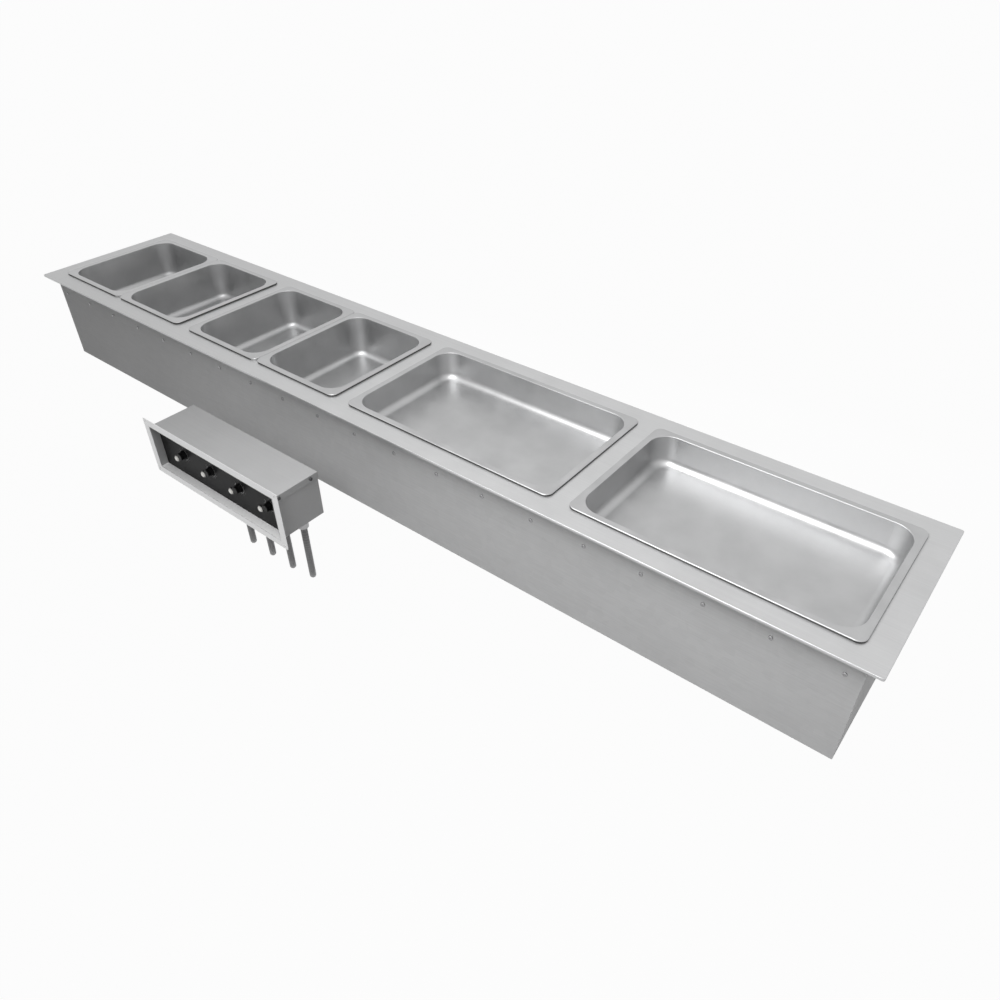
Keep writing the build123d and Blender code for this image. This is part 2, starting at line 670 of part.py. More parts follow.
# Lid: the top sheet with flanges over the ends and the rear of the tray
with BuildPart() as control_box_lid:
    with BuildSketch(Plane((BOX_X, BEZEL_FRONT_Y + BOX_DEPTH / 2, box_top))):
        Rectangle(box_length, BOX_DEPTH)
    extrude(amount=-LID_FLANGE)
    lid_top = control_box_lid.faces().sort_by(Axis.Z)[-1]
    fillet(lid_top.edges().sort_by(Axis.Y)[1:], BOX_BEND)
    with BuildSketch(Plane((BOX_X, tray_y, box_top - BOX_SHEET))):
        Rectangle(tray_length, tray_depth)
    extrude(amount=-LID_FLANGE, mode=Mode.SUBTRACT)
    with BuildSketch(across_box):
        with Locations(*lid_screw_places):
            Circle(screw_hole)
    extrude(amount=box_length, both=True, mode=Mode.SUBTRACT)
keep(control_box_lid, "control_box_lid")

# Screws through the lid's end flanges
with BuildPart() as control_box_screws:
    add(screws(across_box.offset(box_length / 2), lid_screw_places, 2 * BOX_SHEET))
    mirror(about=across_box)
keep(control_box_screws, "control_box_screws")

# Bezel: flat frame around the tray and the lid, flush with their front edges, with four holes to fix it to
# the counter's front
with BuildPart() as control_bezel:
    with BuildSketch(facing_front(BOX_X, bezel_back_y, BOX_Z)):
        RectangleRounded(BEZEL_LENGTH, BEZEL_HEIGHT, BEZEL_CORNER)
        Rectangle(tray_length + 2 * BEZEL_FIT, box_height + 2 * BEZEL_FIT, mode=Mode.SUBTRACT)
        with Locations((0, (box_height - LID_FLANGE) / 2)):
            Rectangle(box_length + 2 * BEZEL_FIT, LID_FLANGE + 2 * BEZEL_FIT, mode=Mode.SUBTRACT)
        with GridLocations(BEZEL_LENGTH - 2 * BEZEL_HOLE_INSET, BEZEL_HEIGHT - 2 * BEZEL_HOLE_INSET, 2, 2):
            Circle(BEZEL_HOLE_RADIUS, mode=Mode.SUBTRACT)
    extrude(amount=BEZEL_SHEET)
keep(control_bezel, "control_bezel")

# Recessed panel that carries the thermostats and lamps, folded back at both ends
with BuildPart() as control_panel:
    with BuildSketch(facing_front(BOX_X, panel_back_y, BOX_Z)):
        Rectangle(recess_length - 2 * PANEL_FIT, recess_height - 2 * PANEL_FIT)
    extrude(amount=PANEL_SHEET)
    with BuildSketch(facing_front(BOX_X, panel_back_y, BOX_Z)):
        with GridLocations(recess_length - 2 * PANEL_FIT - PANEL_SHEET, 0, 2, 1):
            Rectangle(PANEL_SHEET, recess_height - 2 * PANEL_FIT)
    extrude(amount=-PANEL_RETURN)
    with BuildSketch(facing_front(BOX_X, panel_back_y, BOX_Z)):
        with Locations(*knob_places):
            Circle(NECK_RADIUS + SCREW_GAP)
        with Locations(*lamp_places):
            Circle(BARREL_RADIUS + SCREW_GAP)
    extrude(amount=PANEL_SHEET, mode=Mode.SUBTRACT)
keep(control_panel, "control_panel")

# Thermostats behind the panel: a body, a threaded neck bored for the shaft, and two tabs
with BuildPart() as thermostat_bodies:
    with BuildSketch(facing_front(BOX_X, panel_back_y, BOX_Z)):
        with Locations(*knob_places):
            Rectangle(THERMOSTAT_WIDTH, THERMOSTAT_WIDTH)
    extrude(amount=-THERMOSTAT_DEPTH)
    with BuildSketch(facing_front(BOX_X, panel_back_y, BOX_Z)):
        with Locations(*knob_places):
            Circle(NECK_RADIUS)
    extrude(amount=PANEL_SHEET + NECK_PROUD)
    with BuildSketch(facing_front(BOX_X, panel_back_y + THERMOSTAT_DEPTH, BOX_Z)):
        for place in knob_places:
            with Locations(place):
                with GridLocations(THERMOSTAT_TAB_SPACING, 0, 2, 1):
                    Rectangle(THERMOSTAT_TAB[0], THERMOSTAT_TAB[1])
    extrude(amount=-THERMOSTAT_TAB[2])
    with BuildSketch(facing_front(BOX_X, neck_tip_y, BOX_Z)):
        with Locations(*knob_places):
            Circle(SHAFT_RADIUS + RUNNING_GAP)
    extrude(amount=-THERMOSTAT_BORE, mode=Mode.SUBTRACT)
keep(thermostat_bodies, "thermostat_bodies")

# Nuts that clamp the thermostats to the panel
with BuildPart() as thermostat_nuts:
    with BuildSketch(facing_front(BOX_X, panel_front_y, BOX_Z)):
        with Locations(*knob_places):
            RegularPolygon(NUT_WIDTH / 2, 6, major_radius=False)
            Circle(NECK_RADIUS + RUNNING_GAP, mode=Mode.SUBTRACT)
    extrude(amount=NUT_HEIGHT)
keep(thermostat_nuts, "thermostat_nuts")

bore_floor_y = neck_tip_y + THERMOSTAT_BORE
hollow_y = neck_tip_y - KNOB_GAP
shaft_tip_y = hollow_y - SHAFT_GRIP


def thermostat_shaft(place):
    """Shaft that runs in a thermostat's neck, with a flat where the knob grips it."""
    axis_x, axis_z = BOX_X + place[0], BOX_Z + place[1]
    with BuildPart() as shaft:
        with BuildSketch(facing_front(axis_x, bore_floor_y - KNOB_GAP, axis_z)):
            Circle(SHAFT_RADIUS)
        extrude(amount=bore_floor_y - KNOB_GAP - shaft_tip_y)
        with BuildSketch(facing_front(axis_x, shaft_tip_y, axis_z)):
            with Locations((0, SHAFT_RADIUS + SHAFT_FLAT)):
                Rectangle(2 * SHAFT_RADIUS, 2 * SHAFT_RADIUS)
        extrude(amount=-SHAFT_GRIP, mode=Mode.SUBTRACT)
    return shaft


def knob(place):
    """Fluted knob with a skirt, hollow over the nut, gripping the shaft's flat; its pointer is a groove."""
    axis_x, axis_z = BOX_X + place[0], BOX_Z + place[1]
    skirt_front_y = knob_rear_y - KNOB_SKIRT
    with BuildPart() as grip:
        with BuildSketch(facing_front(axis_x, knob_rear_y, axis_z)):
            Circle(KNOB_GRIP_RADIUS)
        extrude(amount=KNOB_LENGTH)
        fillet(grip.faces().sort_by(Axis.Y)[0].edges(), KNOB_ROUND)
        with BuildSketch(facing_front(axis_x, skirt_front_y, axis_z)):
            with PolarLocations(KNOB_GRIP_RADIUS, KNOB_FLUTES):
                Circle(FLUTE_RADIUS)
        extrude(amount=KNOB_LENGTH, mode=Mode.SUBTRACT)
        with BuildSketch(facing_front(axis_x, knob_rear_y, axis_z)):
            Circle(KNOB_RADIUS)
        extrude(amount=KNOB_SKIRT, taper=KNOB_TAPER)
        with BuildSketch(facing_front(axis_x, knob_front_y, axis_z)):
            with Locations((0, KNOB_GRIP_RADIUS / 2)):
                Rectangle(POINTER_WIDTH, KNOB_GRIP_RADIUS)
        extrude(amount=-POINTER_DEPTH, mode=Mode.SUBTRACT)
        with BuildSketch(facing_front(axis_x, knob_rear_y, axis_z)):
            Circle(KNOB_HOLLOW_RADIUS)
        extrude(amount=knob_rear_y - hollow_y, mode=Mode.SUBTRACT)
        with BuildSketch(facing_front(axis_x, hollow_y, axis_z)):
            Circle(SHAFT_RADIUS + RUNNING_GAP)
            with Locations((0, SHAFT_RADIUS + SHAFT_FLAT + RUNNING_GAP)):
                Rectangle(3 * SHAFT_RADIUS, 2 * SHAFT_RADIUS, mode=Mode.SUBTRACT)
        extrude(amount=SHAFT_GRIP + RUNNING_GAP, mode=Mode.SUBTRACT)
    return grip


for number, place in enumerate(knob_places, start=1):
    keep(thermostat_shaft(place), f"thermostat_shaft_{number}")
    keep(knob(place), f"knob_{number}")

# Lamp holders: a collar on the panel and a barrel through it, bored for the lens
with BuildPart() as lamp_holders:
    with BuildSketch(facing_front(BOX_X, panel_front_y, BOX_Z)):
        with Locations(*lamp_places):
            Circle(COLLAR_RADIUS)
    extrude(amount=COLLAR_HEIGHT)
    with BuildSketch(facing_front(BOX_X, panel_front_y, BOX_Z)):
        with Locations(*lamp_places):
            Circle(BARREL_RADIUS)
    extrude(amount=-(PANEL_SHEET + BARREL_LENGTH))
    with BuildSketch(facing_front(BOX_X, panel_front_y - COLLAR_HEIGHT, BOX_Z)):
        with Locations(*lamp_places):
            Circle(LENS_RADIUS + RUNNING_GAP)
    extrude(amount=-LENS_SEAT, mode=Mode.SUBTRACT)
keep(lamp_holders, "lamp_holders")

# Lamp lenses, seated in the holders and domed in front
with BuildPart() as indicator_lamps:
    with BuildSketch(facing_front(BOX_X, panel_front_y - COLLAR_HEIGHT + LENS_SEAT, BOX_Z)):
        with Locations(*lamp_places):
            Circle(LENS_RADIUS)
    extrude(amount=LENS_SEAT + LENS_PROUD)
    fillet(indicator_lamps.edges().group_by(Axis.Y)[0], LENS_ROUND)
keep(indicator_lamps, "indicator_lamps")


def conduit_fittings(places, face_z, sheet):
    """Fittings under a sheet at places: a hex body, a gland nut for the conduit, and a neck through the sheet."""
    with BuildPart() as fittings:
        with BuildSketch(Plane.XY.offset(face_z)):
            with Locations(*places):
                Circle(FITTING_NUT_RADIUS)
        extrude(amount=-FITTING_LENGTH)
        fillet(fittings.edges().group_by(Axis.Z)[0], FITTING_ROUND)
        with BuildSketch(Plane.XY.offset(face_z)):
            with Locations(*places):
                RegularPolygon(FITTING_WIDTH / 2, 6, major_radius=False)
        extrude(amount=-FITTING_HEX)
        with BuildSketch(Plane.XY.offset(face_z)):
            with Locations(*places):
                Circle(FITTING_NECK_RADIUS)
        extrude(amount=sheet + LOCKNUT_HEIGHT + THREAD_SPARE)
    return fittings


keep(conduit_fittings(box_ends, box_bottom, BOX_SHEET), "box_conduit_fittings")
keep(conduit_fittings(well_ends, panel_under, HOUSING_SHEET), "well_conduit_fittings")

# Locknuts on the necks, inside the box and inside the housing
with BuildPart() as conduit_locknuts:
    with BuildSketch(Plane.XY.offset(box_bottom + BOX_SHEET)):
        with Locations(*box_ends):
            RegularPolygon(LOCKNUT_WIDTH / 2, 6, major_radius=False)
            Circle(FITTING_NECK_RADIUS + RUNNING_GAP, mode=Mode.SUBTRACT)
    extrude(amount=LOCKNUT_HEIGHT)
    with BuildSketch(Plane.XY.offset(panel_top)):
        with Locations(*well_ends):
            RegularPolygon(LOCKNUT_WIDTH / 2, 6, major_radius=False)
            Circle(FITTING_NECK_RADIUS + RUNNING_GAP, mode=Mode.SUBTRACT)
        with Locations(supply_place):
            RegularPolygon(SUPPLY_NECK_RADIUS + LOCKNUT_HEIGHT, 6, major_radius=False)
            Circle(SUPPLY_NECK_RADIUS + RUNNING_GAP, mode=Mode.SUBTRACT)
    extrude(amount=LOCKNUT_HEIGHT)
keep(conduit_locknuts, "conduit_locknuts")


def route_radii(points):
    """Largest arcs that the runs leave room for: a share of the shorter run over the tangent of half the turn."""
    radii = []
    for before, corner, after in zip(points, points[1:], points[2:]):
        run_in = Vector(corner) - Vector(before)
        run_out = Vector(after) - Vector(corner)
        turn = radians(run_in.get_angle(run_out))
        radii.append(ARC_SHARE * min(run_in.length, run_out.length) / tan(turn / 2))
    return radii


for number, (start, end, rise) in enumerate(zip(box_ends, well_ends, CONDUIT_RAISE), start=1):
    points = [(*start, box_bottom - FITTING_LENGTH)]
    for share, height in CONDUIT_ROUTE:
        across = (start[0] + share * (end[0] - start[0]), start[1] + share * (end[1] - start[1]))
        points.append((*across, height + rise if 0 < share < 1 else height))
    points.append((*end, panel_under - FITTING_LENGTH))
    radii = route_radii(points)
    with BuildPart() as conduit:
        with BuildLine() as route:
            FilletPolyline(*points, radius=radii)
        with BuildSketch(Plane(origin=route.line @ 0, z_dir=route.line % 0)):
            Circle(CONDUIT_RADIUS)
        sweep()
    keep(conduit, f"conduit_{number}")
    length = sum(edge.length for edge in route.line.edges())
    expected = pi * CONDUIT_RADIUS**2 * length
    print(f"conduit_{number}: length {length:.1f}, radii {[round(radius) for radius in radii]},")
    print(f"  volume {conduit.part.volume:.0f} against section times length {expected:.0f}")
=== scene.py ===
from math import pi

import bpy
import numpy as np
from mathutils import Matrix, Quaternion, Vector


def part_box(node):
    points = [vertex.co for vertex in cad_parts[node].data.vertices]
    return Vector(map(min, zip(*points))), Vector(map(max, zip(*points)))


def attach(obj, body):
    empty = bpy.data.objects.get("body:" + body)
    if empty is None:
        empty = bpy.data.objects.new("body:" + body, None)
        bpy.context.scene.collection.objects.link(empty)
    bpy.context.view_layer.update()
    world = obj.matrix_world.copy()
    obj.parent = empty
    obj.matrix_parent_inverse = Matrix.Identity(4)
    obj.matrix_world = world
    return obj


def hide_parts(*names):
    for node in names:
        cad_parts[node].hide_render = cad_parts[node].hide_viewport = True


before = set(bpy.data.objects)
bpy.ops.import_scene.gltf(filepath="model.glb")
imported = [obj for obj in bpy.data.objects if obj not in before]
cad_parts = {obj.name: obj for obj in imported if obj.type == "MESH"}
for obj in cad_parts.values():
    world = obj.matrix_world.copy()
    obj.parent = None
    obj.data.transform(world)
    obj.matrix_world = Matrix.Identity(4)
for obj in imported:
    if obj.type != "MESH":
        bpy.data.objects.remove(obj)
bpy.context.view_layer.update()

bl_info = {
    "name": "Drop-in hot food well",
    "version": (1, 0, 0),
    "blender": (4, 5, 0),
    "location": "View3D > Sidebar > Food Well",
    "description": "Finishes, conduits, dial prints, knob pointers and a studio for a drop-in hot food well",
    "category": "Object",
}

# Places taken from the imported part, in metres
CONTROLS = (1, 2, 3, 4)
KNOB_BOXES = [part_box(f"knob_{number}") for number in CONTROLS]
KNOB_X = np.array([(low.x + high.x) / 2 for low, high in KNOB_BOXES])
KNOB_LOW, KNOB_HIGH = KNOB_BOXES[0]
KNOB_Z = KNOB_HIGH.z / 2 + KNOB_LOW.z / 2
KNOB_RADIUS = (KNOB_HIGH.x - KNOB_LOW.x) / 2
KNOB_FRONT = KNOB_LOW.y
CONTROL_PITCH = float(KNOB_X[1] - KNOB_X[0])
PANEL_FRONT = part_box("control_panel")[0].y
LAMPS_LOW, LAMPS_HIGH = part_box("indicator_lamps")
LAMP_RADIUS = (LAMPS_HIGH.z - LAMPS_LOW.z) / 2
LAMP_Z = (LAMPS_HIGH.z + LAMPS_LOW.z) / 2
LAMP_X = LAMPS_LOW.x + LAMP_RADIUS
FIRST_FULL_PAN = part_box("full_pan_1")
WELL_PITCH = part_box("full_pan_2")[0].x - FIRST_FULL_PAN[0].x
SHELL_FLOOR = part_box("control_box_shell")[0].z

# Sizes of the part that the frame doesn't give, in metres
RIM_CORNER = 0.016
RIM_ROUND = 0.0018
SHELL_SHEET = 0.0012

# Printed marks and pointer paint, in metres, and the share of the sweep at which a band starts
BAND_START = 0.06
BAND_THIN = 0.0004
TICK_GAP = 0.0012
TICK_WIDTH = 0.0007
POINTER_WIDTH = 0.0013
POINTER_DEPTH = 0.0009
POINTER_START = 0.0006
POINTER_END = 0.0077
GROOVE_DEPTH = 0.0008

# Conduit routes: from a fitting under the box to a fitting under the housing, with the share of the way
# between them and the height of each point in between, and how much higher each conduit hangs
BOX_END_X = (-0.174, -0.103, -0.032, 0.039)
BOX_END_Y = -0.336
BOX_END_Z = -0.208
WELL_END_X = (-0.520, -0.431, -0.342, -0.253)
WELL_END_Y = -0.140
WELL_END_Z = -0.2593
CONDUIT_ROUTE = (
    (0.0, -0.298), (0.07, -0.386), (0.267, -0.440), (0.507, -0.455), (0.733, -0.437), (0.915, -0.388),
    (1.0, -0.318),
)
CONDUIT_RAISE = (0.0, 0.0, 0.0, 0.013)
CONDUIT_LENGTHS = (0.680, 0.6673, 0.6549, 0.6194)


def numbered(name, count=4):
    """Names of like nodes, counted from 1."""
    return [f"{name}_{number}" for number in range(1, count + 1)]


# Nodes that share a finish
PANWARE = numbered("half_pan") + numbered("full_pan", 2) + numbered("adapter_bar", 2)
HOUSING_SHEETS = [
    "front_panel", "back_panel", "left_end_panel", "right_end_panel", "bottom_panel", "cross_rails",
    "panel_strips", "element_plates",
]
FITTINGS = ["well_conduit_fittings", "box_conduit_fittings", "conduit_locknuts", "supply_hub"]
BOARDS = ["insulation_front", "insulation_back", "insulation_ends", "insulation_bottom"]

# Colours of what is small or lies inside
FITTING_GREY = (0.40, 0.40, 0.405)
PLATED_GREY = (0.56, 0.56, 0.565)
SCREW_GREY = (0.37, 0.37, 0.375)
BLACKENED_GREY = (0.09, 0.09, 0.092)
SHEATH_GREY = (0.10, 0.098, 0.095)
COPPER = (0.62, 0.33, 0.2)
FIBRE_TAN = (0.50, 0.47, 0.40)
FOAM_BLACK = (0.03, 0.03, 0.03)
HOLDER_BLACK = (0.02, 0.02, 0.02)
PHENOLIC_BLACK = (0.015, 0.015, 0.016)

# Range that holds nearly all of a fractal noise, and the gains between which each finish's colour moves
NOISE_LOW, NOISE_HIGH = 0.3, 0.7
SHEET_TONES = (0.92, 1.08)
PAN_TONES = (0.94, 1.06)
MILK_TONES = (1.08, 0.72)
JACKET_TONES = (0.8, 1.2)
FIBRE_TONES = (0.75, 1.15)
PAINT_TONES = (0.85, 1.1)
# Gain on the edges' colour: worn, and partly a painted highlight
EDGE_WEAR_AND_HIGHLIGHT_GAIN = 1.3
# Dark share of the pans' colour on their rims' outer faces: painted shadow of the gap down to the flange
RIM_SHADOW_GAIN = 0.14

# Share of the grain in a sheet's colour, the rest being mottling, and how much smoother its worn edges are
GRAIN_SHARE = 0.55
EDGE_POLISH = 0.08

# Heights of what stands up in the finishes, in metres
GRAIN_HEIGHT = 0.0003
WAVE_HEIGHT = 0.002
SKIN_HEIGHT = 0.0002
RING_HEIGHT = 0.0002
CORE_HEIGHT = 0.0006
FIBRE_HEIGHT = 0.001

# Grain of the sheets: how much finer it is along x, y and z
GRAIN_ALONG_X = (5.0, 1100.0, 1100.0)
GRAIN_HOUSING = (14.0, 500.0, 500.0)
GRAIN_PAN = (40.0, 900.0, 900.0)
GRAIN_LINER = (300.0, 300.0, 12.0)
GRAIN_CAST = (260.0, 260.0, 260.0)
GRAIN_FIBRE = (120.0, 900.0, 900.0)


class StageSettings(bpy.types.PropertyGroup):
    """Camera, lamps and floor."""

    lens: bpy.props.FloatProperty(
        name="Lens", description="Focal length on a 36 mm square sensor", default=29.2787, unit="CAMERA"
    )
    camera_place: bpy.props.FloatVectorProperty(
        name="Camera", description="Where the camera stands", default=(1.19901, -1.11386, 0.90519),
        subtype="TRANSLATION", unit="LENGTH"
    )
    camera_aim: bpy.props.FloatVectorProperty(
        name="Aim", description="Point in the middle of the picture", default=(0.26479, 0.05352, -0.26717),
        subtype="TRANSLATION", unit="LENGTH"
    )
    camera_roll: bpy.props.FloatProperty(
        name="Roll", description="Turn of the camera about its own line of sight", default=-0.0063632,
        subtype="ANGLE", unit="ROTATION"
    )
    floor_height: bpy.props.FloatProperty(
        name="Floor", description="Height of the floor below the counter's top", default=-0.9, unit="LENGTH"
    )
    floor_radius: bpy.props.FloatProperty(
        name="Floor radius", description="Reach of the floor", default=40.0, unit="LENGTH"
    )
    floor_colour: bpy.props.FloatVectorProperty(
        name="Floor colour", description="Plain pale floor", default=(0.20, 0.20, 0.20), subtype="COLOR"
    )
    floor_white: bpy.props.FloatProperty(
        name="Floor white", description="Share of plain white in the floor as the camera sees it",
        default=0.97, subtype="FACTOR"
    )
    sky_level: bpy.props.FloatProperty(
        name="Sky", description="Strength of the even light from all round", default=0.15
    )
    key_power: bpy.props.FloatProperty(
        name="Key lamp", description="Large soft lamp above the controls' right", default=46.5, unit="POWER"
    )
    key_place: bpy.props.FloatVectorProperty(
        name="Key lamp place", description="Where the soft lamp hangs", default=(0.50, -1.10, 1.42),
        subtype="TRANSLATION", unit="LENGTH"
    )
    key_aim: bpy.props.FloatVectorProperty(
        name="Key lamp aim", description="Point the soft lamp faces", default=(2.3, 0.0, 0.0),
        subtype="TRANSLATION", unit="LENGTH"
    )
    key_size: bpy.props.FloatVectorProperty(
        name="Key lamp size", description="Width and height of the soft lamp", default=(2.0, 1.1), size=2,
        unit="LENGTH"
    )
    back_power: bpy.props.FloatProperty(
        name="Back lamp", description="Soft lamp low behind the housing, below the flange", default=18.0,
        unit="POWER"
    )
    back_place: bpy.props.FloatVectorProperty(
        name="Back lamp place", description="Where the back lamp stands", default=(-0.2, 2.0, -0.42),
        subtype="TRANSLATION", unit="LENGTH"
    )
    back_aim: bpy.props.FloatVectorProperty(
        name="Back lamp aim", description="Point the back lamp faces", default=(0.0, 0.18, -0.12),
        subtype="TRANSLATION", unit="LENGTH"
    )
    back_size: bpy.props.FloatVectorProperty(
        name="Back lamp size", description="Width and height of the back lamp", default=(2.6, 0.6), size=2,
        unit="LENGTH"
    )


class ConduitSettings(bpy.types.PropertyGroup):
    """Flexible conduits between the control box and the housing."""

    diameter: bpy.props.FloatProperty(
        name="Diameter", description="Outside of the jacket", default=0.015, unit="LENGTH"
    )
    turns: bpy.props.FloatProperty(
        name="Turns", description="Turns of the wound core that show faintly through one conduit's jacket",
        default=150.0
    )
    colour: bpy.props.FloatVectorProperty(
        name="Jacket", description="Colour of the jacket", default=(0.38, 0.38, 0.384), subtype="COLOR"
    )


class DialSettings(bpy.types.PropertyGroup):
    """Marks printed round the knobs and the paint in their pointers."""

    gap: bpy.props.FloatProperty(
        name="Gap", description="Between a knob's skirt and its printed band", default=0.0022, unit="LENGTH"
    )
    band: bpy.props.FloatProperty(
        name="Band", description="Width of the band at its hot end", default=0.0024, unit="LENGTH"
    )
    tick: bpy.props.FloatProperty(
        name="Tick", description="Length of a tick mark", default=0.0024, unit="LENGTH"
    )
    ticks: bpy.props.IntProperty(name="Ticks", description="Tick marks on one dial", default=11)
    sweep: bpy.props.FloatProperty(
        name="Sweep", description="Turn from the first tick to the last", default=5 * pi / 3,
        subtype="ANGLE", unit="ROTATION"
    )
    thickness: bpy.props.FloatProperty(
        name="Thickness", description="Thickness of the print", default=0.00012, unit="LENGTH"
    )
    colour: bpy.props.FloatVectorProperty(
        name="Print", description="Colour of the printed marks", default=(0.30, 0.30, 0.30), subtype="COLOR"
    )
    pointer_colour: bpy.props.FloatVectorProperty(
        name="Pointer", description="Paint in the knobs' pointers", default=(0.55, 0.55, 0.54),
        subtype="COLOR"
    )


class FinishSettings(bpy.types.PropertyGroup):
    """Colours of the carried-over pieces."""

    flange: bpy.props.FloatVectorProperty(
        name="Flange", description="Brushed stainless steel of the flange", default=(0.57, 0.572, 0.575),
        subtype="COLOR"
    )
    pan: bpy.props.FloatVectorProperty(
        name="Pans", description="Polished stainless steel of the pans", default=(0.46, 0.462, 0.465),
        subtype="COLOR"
    )
    housing: bpy.props.FloatVectorProperty(
        name="Housing", description="Coated steel sheet of the housing", default=(0.62, 0.622, 0.625),
        subtype="COLOR"
    )
    box: bpy.props.FloatVectorProperty(
        name="Control box", description="Satin sheet of the control box", default=(0.505, 0.507, 0.51),
        subtype="COLOR"
    )
    # Painted light: the recess floor is part of the shell's sheet, painted brighter than the rest of it as if
    # lit
    recess: bpy.props.FloatVectorProperty(
        name="Recess floor", description="Bright lower lip in front of the panel",
        default=(0.96, 0.962, 0.965), subtype="COLOR"
    )
    bezel: bpy.props.FloatVectorProperty(
        name="Bezel", description="Bright satin steel of the bezel", default=(0.80, 0.802, 0.805),
        subtype="COLOR"
    )
    panel: bpy.props.FloatVectorProperty(
        name="Panel", description="Dark overlay of the control panel", default=(0.017, 0.017, 0.0175),
        subtype="COLOR"
    )
    knob: bpy.props.FloatVectorProperty(
        name="Knobs", description="Moulded knobs", default=(0.004, 0.004, 0.0042), subtype="COLOR"
    )
    lens: bpy.props.FloatVectorProperty(
        name="Lamps", description="Milky lenses of the indicator lamps", default=(0.74, 0.73, 0.70),
        subtype="COLOR"
    )


def plug(tree, value, socket):
    """Link a socket's value from another socket, or set it."""
    if isinstance(value, bpy.types.NodeSocket):
        tree.links.new(value, socket)
    else:
        socket.default_value = value


def node(tree, kind, sockets=None, **settings):
    """Add a node with these settings, and link or set its sockets."""
    made = tree.nodes.new(kind)
    for name, value in settings.items():
        setattr(made, name, value)
    for name, value in (sockets or {}).items():
        plug(tree, value, made.inputs[name])
    return made


def calc(tree, operation, *values, clamp=False):
    """Result of a math node."""
    made = node(tree, "ShaderNodeMath", dict(enumerate(values)), operation=operation, use_clamp=clamp)
    return made.outputs[0]


def spread(tree, value, low, high, to_low, to_high):
    """Value carried from one range to another, held at its ends."""
    sockets = {"Value": value, "From Min": low, "From Max": high, "To Min": to_low, "To Max": to_high}
    return node(tree, "ShaderNodeMapRange", sockets).outputs["Result"]


def from_noise(tree, value, to_low=0.0, to_high=1.0):
    """Noise carried from the range that holds nearly all of it to another."""
    return spread(tree, value, NOISE_LOW, NOISE_HIGH, to_low, to_high)


def blend(tree, share, first, second):
    """Mix of two colours."""
    return node(tree, "ShaderNodeMix", {0: share, 6: first, 7: second}, data_type="RGBA").outputs[2]


def opaque(colour, gain=1.0):
    """Colour of a setting, brightened, as a socket takes it."""
    return (*(min(1.0, channel * gain) for channel in colour), 1.0)


def toned(tree, share, colour, tones):
    """Colour that goes from its first gain to its second with a share."""
    return blend(tree, share, opaque(colour, tones[0]), opaque(colour, tones[1]))


def effect(name, inputs, outputs):
    """New shader node group with these sockets: its tree, what comes in and what goes out."""
    group = bpy.data.node_groups.new(name, "ShaderNodeTree")
    for label, kind, default in inputs:
        group.interface.new_socket(name=label, in_out="INPUT", socket_type=kind).default_value = default
    for label in outputs:
        group.interface.new_socket(name=label, in_out="OUTPUT", socket_type="NodeSocketFloat")
    return group, group.nodes.new("NodeGroupInput").outputs, group.nodes.new("NodeGroupOutput").inputs


def object_place(tree):
    """Place on the piece, in metres in the part's frame."""
    return node(tree, "ShaderNodeTexCoord").outputs["Object"]


def object_axes(tree):
    """Place on the piece, as its X, Y and Z."""
    return node(tree, "ShaderNodeSeparateXYZ", {0: object_place(tree)}).outputs


def noise(tree, place, scale, detail, roughness=0.6):
    """Fractal noise at a place."""
    sockets = {"Vector": place, "Scale": scale, "Detail": detail, "Roughness": roughness}
    return node(tree, "ShaderNodeTexNoise", sockets).outputs["Fac"]


def brushed_grain():
    """Group: noise on places stretched by a vector, so that its grains are long on the axis with the least
    stretch, with a share of slow mottling."""
    group, given, result = effect(
        "Brushed grain",
        [("Stretch", "NodeSocketVector", (4.0, 900.0, 900.0)), ("Mottle size", "NodeSocketFloat", 9.0)],
        ["Grain", "Mottle"],
    )
    place = object_place(group)
    stretched = node(group, "ShaderNodeVectorMath", {0: place, 1: given["Stretch"]}, operation="MULTIPLY")
    plug(group, noise(group, stretched.outputs[0], 1.0, 3.0, 0.65), result["Grain"])
    plug(group, noise(group, place, given["Mottle size"], 4.0), result["Mottle"])
    return group


def edge_catch():
    """Group: how far a normal smoothed over a small radius turns from the true one, which is large along
    edges and nothing on flat sheet."""
    group, given, result = effect(
        "Edge catch", [("Width", "NodeSocketFloat", 0.0012), ("Gain", "NodeSocketFloat", 3.0)], ["Edge"]
    )
    smooth = node(group, "ShaderNodeBevel", {"Radius": given["Width"]}, samples=4).outputs["Normal"]
    true = node(group, "ShaderNodeNewGeometry").outputs["Normal"]
    agree = node(group, "ShaderNodeVectorMath", {0: smooth, 1: true}, operation="DOT_PRODUCT")
    turned = calc(group, "SUBTRACT", 1.0, agree.outputs["Value"])
    plug(group, calc(group, "MULTIPLY", turned, given["Gain"], clamp=True), result["Edge"])
    return group


def zinc_spangle():
    """Group: flat crystal patches of a hot-dipped coating, each a random grey, from the cells of a Voronoi
    pattern."""
    group, given, result = effect("Zinc spangle", [("Size", "NodeSocketFloat", 60.0)], ["Crystal"])
    cells = node(group, "ShaderNodeTexVoronoi", {"Vector": object_place(group), "Scale": given["Size"]})
    parted = node(group, "ShaderNodeSeparateColor", {0: cells.outputs["Color"]})
    plug(group, parted.outputs[0], result["Crystal"])
    return group


def moulded_skin():
    """Group: fine pebbled skin of a moulding or jacket, and slow shade changes in it."""
    group, given, result = effect(
        "Moulded skin", [("Fineness", "NodeSocketFloat", 1800.0)], ["Skin", "Shade"]
    )
    place = object_place(group)
    plug(group, noise(group, place, given["Fineness"], 2.0), result["Skin"])
    plug(group, noise(group, place, 35.0, 3.0), result["Shade"])
    return group


def placed(tree, make, sockets=None):
    """Outputs of an effect group, made once, placed in a material with its own values."""
    name = make.__name__.replace("_", " ").capitalize()
    group = bpy.data.node_groups.get(name) or make()
    return node(tree, "ShaderNodeGroup", sockets, node_tree=group).outputs


